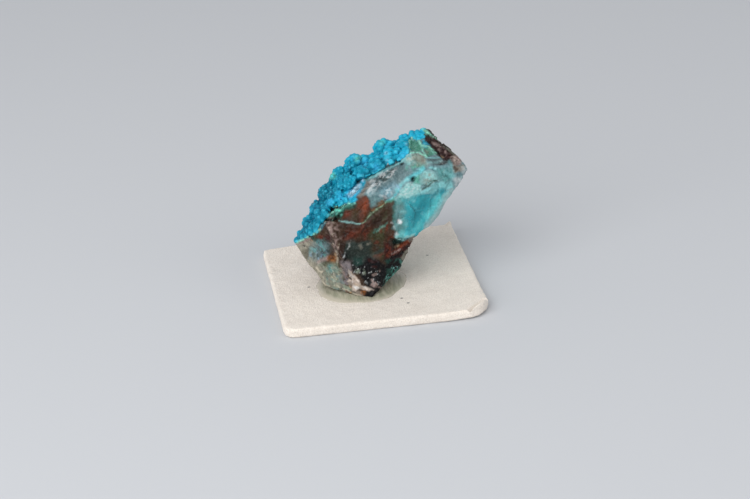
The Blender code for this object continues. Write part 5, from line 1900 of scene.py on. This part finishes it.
@dataclass(frozen=True)
class TackFinish:
    """Clear tack, a soft reusable putty pressed flat: glassy, faintly green, with drawn streaks.

    The thin attribute is 1 at its rim, which thins out until it hardly shows on the foam.
    """

    name: str = "clear_putty_tack"
    tint: str = "C4C0AA"
    streak_tint: str = "A6A690"
    rim_tint: str = "C0B8A8"
    absorbed: str = "C9D2BE"
    density: float = 25.0
    clearness: float = 0.3
    streak_width: float = 0.7
    streak_height: float = 0.12
    streak_stretch: Point = (1.0, 0.2, 0.2)

    def make(self) -> bpy.types.Material:
        """Build the finish as a node material.

        Returns:
            The material.
        """
        material, tree = new_tree(self.name)
        place = add_node(tree, "ShaderNodeTexCoord").outputs["Object"]
        drawn = add_node(
            tree, "ShaderNodeMapping", {"vector_type": "POINT"}, {"Scale": self.streak_stretch},
            {"Vector": place},
        )
        streaks = add_node(
            tree, "ShaderNodeTexNoise", None,
            {"Scale": 1.0 / (self.streak_width * MM), "Detail": 2.0}, {"Vector": drawn.outputs["Vector"]},
        )
        share = add_node(
            tree, "ShaderNodeMapRange", None, {"From Min": 0.4, "From Max": 0.62},
            {"Value": streaks.outputs["Fac"]},
        )
        colour = add_node(
            tree, "ShaderNodeMix", {"data_type": "RGBA"},
            {MixSocket.FIRST: linear(self.tint), MixSocket.SECOND: linear(self.streak_tint)},
            {MixSocket.FACTOR: share.outputs["Result"]},
        )
        thin = add_node(tree, "ShaderNodeAttribute", {"attribute_name": "thin"}).outputs["Color"]
        whole = add_node(
            tree, "ShaderNodeMix", {"data_type": "RGBA"}, {MixSocket.SECOND: linear(self.rim_tint)},
            {MixSocket.FACTOR: thin, MixSocket.FIRST: colour.outputs[MixSocket.RESULT]},
        )
        bump = add_node(
            tree, "ShaderNodeBump", None, {"Strength": 0.6, "Distance": self.streak_height * MM},
            {"Height": streaks.outputs["Fac"]},
        )
        dull = add_node(
            tree, "ShaderNodeMapRange", None, {"To Min": 0.10, "To Max": 0.26},
            {"Value": streaks.outputs["Fac"]},
        )
        clear = add_node(
            tree, "ShaderNodeMapRange", None, {"To Min": self.clearness, "To Max": 0.0}, {"Value": thin},
        )
        shader = add_node(
            tree, "ShaderNodeBsdfPrincipled", None,
            {"IOR": 1.45},
            {
                "Base Color": whole.outputs[MixSocket.RESULT],
                "Transmission Weight": clear.outputs["Result"],
                "Roughness": dull.outputs["Result"],
                "Normal": bump.outputs["Normal"],
            },
        )
        body = add_node(
            tree, "ShaderNodeVolumeAbsorption", None,
            {"Color": linear(self.absorbed), "Density": self.density},
        )
        add_node(
            tree, "ShaderNodeOutputMaterial", None, None,
            {"Surface": shader.outputs["BSDF"], "Volume": body.outputs["Volume"]},
        )
        return material


@dataclass
class TackPuddle:
    """Clear tack pressed out round the stone's foot: a low dome with a wavy rim."""

    centre: Spot = (-0.0034, -0.0037)
    radius: float = 0.0113
    bottom: float = 0.0027
    top: float = 0.0041
    sink: float = 0.0003
    fullness: float = 0.9
    thin_start: float = 0.84
    thin_lean: float = -0.02
    thin_side: Spot = (0.94, 0.34)
    waves: tuple[tuple[int, float, float], ...] = ((2, 0.6, 0.035), (5, 1.0, 0.018), (11, 0.4, 0.008))
    profile_steps: int = 36
    turn_steps: int = 220
    merge_distance: float = 0.00001
    ripple_height: float = 0.05
    ripple_size: float = 1.2
    ripple_stretch: Point = (1.0, 0.35, 0.35)
    ripple_seed: int = 61
    ripple_fade: float = 0.0004

    def profile(self) -> list[Point]:
        """Work out the half section that is turned into the dome.

        Returns:
            Points in metres, from the top to the rim and back under it.
        """
        low = self.bottom - self.sink
        profile = []
        for step in range(self.profile_steps):
            share = step / self.profile_steps
            rise = math.cos(share * math.pi / 2) ** self.fullness
            profile.append((self.radius * share, 0.0, self.top - (self.top - low) * (1.0 - rise)))
        return [*profile, (self.radius, 0.0, low), (0.0, 0.0, low)]

    def build(self) -> bpy.types.Object:
        """Build the puddle.

        Returns:
            The finished piece.
        """
        profile = self.profile()
        line = bpy.data.meshes.new("tack_profile")
        line.from_pydata(profile, [(step, step + 1) for step in range(len(profile) - 1)], [])
        turned = new_object("tack_profile", line)
        turn = turned.modifiers.new("turn", "SCREW")
        turn.steps = self.turn_steps
        turn.render_steps = self.turn_steps
        turn.use_merge_vertices = True
        turn.merge_threshold = self.merge_distance
        bm = bmesh.new()
        bm.from_mesh(evaluated_mesh(turned))
        for vert in bm.verts:
            angle = math.atan2(vert.co.y, vert.co.x)
            wave = 1.0 + sum(high * math.sin(crests * angle + shift) for crests, shift, high in self.waves)
            vert.co.x = vert.co.x * wave + self.centre[0]
            vert.co.y = vert.co.y * wave + self.centre[1]
        bmesh.ops.recalc_face_normals(bm, faces=bm.faces)
        mesh = mesh_from(bm, "tack")
        surface = Surface(mesh)
        drawn = surface.places / MM * np.array(self.ripple_stretch)
        ripple = Chance(self.ripple_seed).cloud(drawn, self.ripple_size, 2)
        upper = smooth_step(self.bottom, self.bottom + self.ripple_fade, surface.places[:, 2])
        surface.move(upper * self.ripple_height * (ripple - 1.0), self.bottom - self.sink)
        away = surface.places[:, :2] - np.array(self.centre)
        reach = np.linalg.norm(away, axis=1) / self.radius
        side = away @ np.array(self.thin_side) / self.radius
        thin = smooth_step(self.thin_start, 1.0, reach + self.thin_lean * side)
        surface.store("thin", np.repeat(thin[:, None], 3, axis=1))
        mesh.materials.append(TackFinish().make())
        mesh.shade_smooth()
        return new_object("tack_puddle", mesh)


@dataclass(frozen=True)
class FoamFinish:
    """White polyethylene foam, sliced from a block: matt, with tiny open cells and stray specks.

    The real cells are about 0.1 mm wide; they are drawn at 0.32 mm so that they show.
    """

    name: str = "white_polyethylene_foam"
    body: str = "FAF1E6"
    shade: str = "C0B4A6"
    cell_size: float = 0.32
    cell_height: float = 0.16
    grain_size: float = 0.75
    cloud_size: float = 4.0
    speck: str = "4A423C"
    light_reach: float = 0.8

    def make(self) -> bpy.types.Material:
        """Build the finish as a node material.

        Returns:
            The material.
        """
        material, tree = new_tree(self.name)
        place = add_node(tree, "ShaderNodeTexCoord").outputs["Object"]
        cells = add_node(
            tree, "ShaderNodeTexVoronoi", None, {"Scale": 1.0 / (self.cell_size * MM)}, {"Vector": place},
        )
        grain = add_node(
            tree, "ShaderNodeTexNoise", None,
            {"Scale": 1.0 / (self.grain_size * MM), "Detail": 4.0, "Roughness": 0.75}, {"Vector": place},
        )
        clouds = add_node(
            tree, "ShaderNodeTexNoise", None, {"Scale": 1.0 / (self.cloud_size * MM), "Detail": 2.0},
            {"Vector": place},
        )
        mottle = add_node(
            tree, "ShaderNodeMath", {"operation": "MULTIPLY_ADD"}, {1: 0.6},
            {0: grain.outputs["Fac"], 2: cells.outputs["Distance"]},
        )
        share = add_node(
            tree, "ShaderNodeMapRange", None, {"From Min": 0.25, "From Max": 1.25, "To Max": 0.55},
            {"Value": mottle.outputs["Value"]},
        )
        fine = add_node(
            tree, "ShaderNodeMix", {"data_type": "RGBA"},
            {MixSocket.FIRST: linear(self.body), MixSocket.SECOND: linear(self.shade)},
            {MixSocket.FACTOR: share.outputs["Result"]},
        )
        cloudy = add_node(
            tree, "ShaderNodeMapRange", None, {"From Min": 0.4, "From Max": 0.7, "To Max": 0.18},
            {"Value": clouds.outputs["Fac"]},
        )
        colour = add_node(
            tree, "ShaderNodeMix", {"data_type": "RGBA"}, {MixSocket.SECOND: linear(self.shade)},
            {MixSocket.FACTOR: cloudy.outputs["Result"], MixSocket.FIRST: fine.outputs[MixSocket.RESULT]},
        )
        speck = add_node(tree, "ShaderNodeAttribute", {"attribute_name": "speck"}).outputs["Color"]
        specked = add_node(
            tree, "ShaderNodeMix", {"data_type": "RGBA"}, {MixSocket.SECOND: linear(self.speck)},
            {MixSocket.FACTOR: speck, MixSocket.FIRST: colour.outputs[MixSocket.RESULT]},
        )
        bump = add_node(
            tree, "ShaderNodeBump", None, {"Strength": 0.7, "Distance": self.cell_height * MM},
            {"Height": mottle.outputs["Value"]},
        )
        shader = add_node(
            tree, "ShaderNodeBsdfPrincipled", None,
            {
                "Roughness": 0.82, "IOR": 1.45, "Sheen Weight": 0.15, "Sheen Roughness": 0.5,
                "Subsurface Weight": 0.12, "Subsurface Scale": self.light_reach * MM,
                "Subsurface Radius": (1.0, 0.95, 0.9),
            },
            {"Base Color": specked.outputs[MixSocket.RESULT], "Normal": bump.outputs["Normal"]},
        )
        add_node(tree, "ShaderNodeOutputMaterial", None, None, {"Surface": shader.outputs["BSDF"]})
        return material


@dataclass
class FoamSquare:
    """White foam square: cut by hand, with soft edges, and its front right corner nipped and curled."""

    thickness: float = 0.0024
    front_left: Spot = (-0.0255, -0.0245)
    front_right: Spot = (0.0256, -0.0266)
    back_right: Spot = (0.0256, 0.0266)
    back_left: Spot = (-0.0256, 0.0244)
    corner_share: float = 0.06
    rounding: tuple[float, float, float, float] = (0.9, 0.4, 1.0, 0.1)
    corner_steps: int = 4
    middle_steps: int = 5
    curl_height: float = 0.0011
    curl_reach: float = 0.0075
    curl_power: float = 1.5
    edge_round: float = 0.0004
    cell: float = 0.30
    soft_rounds: int = 3
    nip_start: float = 33.0
    nip_share: float = 0.5
    crease: tuple[Spot, Spot] = ((20.3, -25.8), (25.2, -21.6))
    crease_width: float = 0.5
    crease_depth: float = 1.1
    flap_rise: float = 0.55
    tip: Spot = (25.4, -21.9)
    tip_reach: float = 1.5
    tip_out: float = 0.2
    nib: Spot = (25.3, 26.2)
    nib_reach: float = 1.7
    nib_rise: float = 1.0
    nib_power: float = 1.3
    upper_fade: Spot = (0.6, 1.8)
    flap_fade: float = 1.2
    edge_segments: int = 3
    edge_angle: float = math.radians(50)
    fine_grain: tuple[float, int, float] = (0.07, 71, 0.9)
    broad_grain: tuple[float, int, float] = (0.06, 72, 6.0)
    side_grain: tuple[float, int, float] = (0.10, 73, 3.0)
    underside: float = 0.0003
    speck_fade: Spot = (0.45, 0.15)
    speck_facing: float = 0.5
    specks: tuple[Spot, ...] = ((-16.6, -1.9), (15.8, 8.3), (5.1, -14.8), (6.2, -17.7))

    def spot(self, right: float, back: float) -> Vector:
        """Place a point of the outline grid.

        Args:
            right: its share across the square.
            back: its share from the front to the back.

        Returns:
            The point in metres.
        """
        sides = {
            (0, 0): self.rounding[0], (0, 1): self.rounding[1],
            (1, 0): self.rounding[2], (1, 1): self.rounding[3],
        }
        side = (round(right), round(back))
        centre = Vector([self.corner_share if end == 0 else 1.0 - self.corner_share for end in side])
        out = Vector((right, back)) - centre
        sideways = out.x * (1 if side[0] else -1)
        endways = out.y * (1 if side[1] else -1)
        if min(sideways, endways) > 0.0:
            shell = max(sideways, endways) / out.length
            right, back = centre + out * (1.0 + sides[side] * (shell - 1.0))
        front = Vector(self.front_left).lerp(Vector(self.front_right), right)
        rear = Vector(self.back_left).lerp(Vector(self.back_right), right)
        return front.lerp(rear, back)

    def shares(self) -> list[float]:
        """Divide a side, with close steps at its two ends.

        Returns:
            Shares from 0 to 1.
        """
        corner = [self.corner_share * step / self.corner_steps for step in range(self.corner_steps)]
        width = 1.0 - 2 * self.corner_share
        steps = range(self.middle_steps + 1)
        middle = [self.corner_share + width * step / self.middle_steps for step in steps]
        return corner + middle + [1.0 - share for share in reversed(corner)]

    def nip(self, surface: Surface) -> None:
        """Draw the front right corner in, crease it, and pull the back right one to a nib.

        Args:
            surface: the fused foam.
        """
        points = surface.places / MM
        diagonal = np.array([1.0, -1.0]) / math.sqrt(2.0)
        beyond = np.maximum(points[:, :2] @ diagonal - self.nip_start, 0.0)
        points[:, :2] -= self.nip_share * beyond[:, None] * diagonal
        reach = line_distance(points[:, :2], *np.array(self.crease)) / self.crease_width
        upper = smooth_step(*self.upper_fade, points[:, 2])
        rise = self.flap_rise * smooth_step(0.0, self.flap_fade, beyond)
        points[:, 2] += upper * (rise - self.crease_depth * np.exp(-reach**2))
        away = np.linalg.norm(points[:, :2] - np.array(self.tip), axis=1)
        points[:, 0] += self.tip_out * np.clip(1.0 - away / self.tip_reach, 0.0, 1.0) * upper
        away = np.linalg.norm(points[:, :2] - np.array(self.nib), axis=1)
        nearness = np.clip(1.0 - away / self.nib_reach, 0.0, 1.0)
        points[:, 2] += upper * self.nib_rise * nearness**self.nib_power
        surface.put(points * MM)

    def roughen(self, surface: Surface) -> None:
        """Give the sliced foam its grain, with broader waves on its cut sides.

        Args:
            surface: the shaped foam.
        """
        points = surface.places / MM
        fine, broad, cut = self.fine_grain, self.broad_grain, self.side_grain
        grain = fine[0] * Chance(fine[1]).cloud(points, fine[2], 2)
        grain = grain + broad[0] * Chance(broad[1]).cloud(points, broad[2], 2)
        side = 1.0 - np.abs(surface.normals[:, 2])
        grain = grain + cut[0] * side * Chance(cut[1]).cloud(points, cut[2], 2)
        surface.move(grain * (surface.places[:, 2] > self.underside), 0.0)

    def speckle(self, surface: Surface) -> None:
        """Mark the stray specks on the foam's face.

        Args:
            surface: the finished foam.
        """
        spots = surface.places[:, :2] / MM
        speck = np.zeros(len(spots))
        for place in self.specks:
            away = np.linalg.norm(spots - np.array(place), axis=1)
            mark = smooth_step(*self.speck_fade, away) * (surface.normals[:, 2] > self.speck_facing)
            speck = np.maximum(speck, mark)
        surface.store("speck", np.repeat(speck[:, None], 3, axis=1))

    def build(self) -> bpy.types.Object:
        """Build the foam square.

        Returns:
            The finished piece.
        """
        shares = self.shares()
        steps = len(shares) - 1
        corner = Vector(self.front_right)
        bm = bmesh.new()
        bmesh.ops.create_grid(bm, x_segments=steps, y_segments=steps, size=0.5)
        for vert in bm.verts:
            right, back = shares[round((vert.co.x + 0.5) * steps)], shares[round((vert.co.y + 0.5) * steps)]
            spot = self.spot(right, back)
            nearness = max(0.0, 1.0 - (spot - corner).length / self.curl_reach)
            vert.co = (spot.x, spot.y, self.thickness + self.curl_height * nearness**self.curl_power)
        sheet = new_object("foam", mesh_from(bm, "foam"))
        body = sheet.modifiers.new("thickness", "SOLIDIFY")
        body.thickness = self.thickness
        body.offset = -1.0
        edge = sheet.modifiers.new("soft edge", "BEVEL")
        edge.width = self.edge_round
        edge.segments = self.edge_segments
        edge.limit_method = "ANGLE"
        edge.angle_limit = self.edge_angle
        surface = Surface(fused(evaluated_mesh(sheet), self.cell))
        surface.put(surface.averaged(surface.places, self.soft_rounds))
        self.nip(surface)
        self.roughen(surface)
        self.speckle(surface)
        surface.mesh.materials.append(FoamFinish().make())
        surface.mesh.shade_smooth()
        return new_object("foam_square", surface.mesh)


@dataclass(frozen=True)
class FloorFinish:
    """Pale studio paper: matt, with a faint tooth."""

    name: str = "pale_studio_paper"
    colour: str = "C9CBCE"
    tooth: float = 1.2
    tooth_height: float = 0.05

    def make(self) -> bpy.types.Material:
        """Build the finish as a node material.

        Returns:
            The material.
        """
        material, tree = new_tree(self.name)
        place = add_node(tree, "ShaderNodeTexCoord").outputs["Object"]
        tooth = add_node(
            tree, "ShaderNodeTexNoise", None, {"Scale": 1.0 / (self.tooth * MM), "Detail": 2.0},
            {"Vector": place},
        )
        bump = add_node(
            tree, "ShaderNodeBump", None, {"Strength": 0.2, "Distance": self.tooth_height * MM},
            {"Height": tooth.outputs["Fac"]},
        )
        shader = add_node(
            tree, "ShaderNodeBsdfPrincipled", None, {"Base Color": linear(self.colour), "Roughness": 0.9},
            {"Normal": bump.outputs["Normal"]},
        )
        add_node(tree, "ShaderNodeOutputMaterial", None, None, {"Surface": shader.outputs["BSDF"]})
        return material


@dataclass
class Studio:
    """Pale floor, soft light and the camera at the display side's viewing angle."""

    floor_size: float = 6.0
    floor_steps: int = 8
    ambient: float = 0.6
    ambient_tint: str = "F4F6FA"
    key_place: Point = (-0.45, -0.50, 0.45)
    key_size: float = 0.8
    key_power: float = 6.1
    fill_place: Point = (0.55, -0.45, 0.35)
    fill_size: float = 0.5
    fill_power: float = 0.8
    aim: Point = (0.0, 0.0, 0.015)
    eye: Point = (1.26, 10.68, 523.4)
    lens: float = 100.0
    sensor: float = 36.0
    clip: Spot = (0.01, 20.0)

    def add_floor(self) -> None:
        """Lay the floor under the specimen and its stage."""
        bm = bmesh.new()
        steps = self.floor_steps
        bmesh.ops.create_grid(bm, x_segments=steps, y_segments=steps, size=self.floor_size / 2)
        mesh = mesh_from(bm, "floor")
        mesh.materials.append(FloorFinish().make())
        new_object("floor", mesh)

    def add_light(self, name: str, place: Point, size: float, power: float) -> None:
        """Add one soft square light that faces the specimen.

        Args:
            name: name of the light.
            place: where it hangs, in metres.
            size: width of its side, in metres.
            power: its power in watts.
        """
        lamp = bpy.data.lights.new(name, "AREA")
        lamp.shape = "SQUARE"
        lamp.size = size
        lamp.energy = power
        obj = bpy.data.objects.new(name, lamp)
        bpy.context.scene.collection.objects.link(obj)
        obj.location = place
        obj.rotation_euler = (Vector(self.aim) - Vector(place)).to_track_quat("-Z", "Y").to_euler()

    def add_world(self) -> None:
        """Even, pale light from all round."""
        world = bpy.data.worlds.new("studio")
        world.use_nodes = True
        backdrop = world.node_tree.nodes["Background"]
        backdrop.inputs["Color"].default_value = linear(self.ambient_tint)
        backdrop.inputs["Strength"].default_value = self.ambient
        bpy.context.scene.world = world

    def add_camera(self) -> None:
        """Set the camera square to the display axes."""
        data = bpy.data.cameras.new("camera")
        data.lens = self.lens
        data.sensor_width = self.sensor
        data.clip_start, data.clip_end = self.clip
        camera = bpy.data.objects.new("camera", data)
        bpy.context.scene.collection.objects.link(camera)
        turn = AXES.matrix().to_3x3().to_4x4()
        camera.matrix_world = Matrix.Translation(AXES.place(*self.eye)) @ turn
        bpy.context.scene.camera = camera

    def build(self) -> None:
        """Set up floor, lights, world and camera."""
        self.add_floor()
        self.add_light("key", self.key_place, self.key_size, self.key_power)
        self.add_light("fill", self.fill_place, self.fill_size, self.fill_power)
        self.add_world()
        self.add_camera()
        bpy.context.scene.view_settings.view_transform = "Standard"


def dress(piece: bpy.types.Object, node: str) -> None:
    """Let a piece ride on the specimen and stand for a solid, and log its triangles.

    Args:
        piece: the piece.
        node: name of the solid that it stands for.
    """
    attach(piece, "root")
    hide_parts(node)
    triangles = sum(len(face.vertices) - 2 for face in piece.data.polygons)
    LOG.info("%s: %d triangles, for %s", piece.name, triangles, node)


def main() -> None:
    """Build the specimen's pieces and its studio."""
    logging.basicConfig(level=logging.INFO, format="%(name)s: %(message)s")
    stone = BrokenStone()
    dress(stone.build(), "specimen_stone")
    dress(ChrysocollaCrust().build(stone.block()), "specimen_stone")
    dress(TackPuddle().build(), "clear_tack")
    dress(FoamSquare().build(), "foam_base")
    Studio().build()


if __name__ == "__main__":
    main()
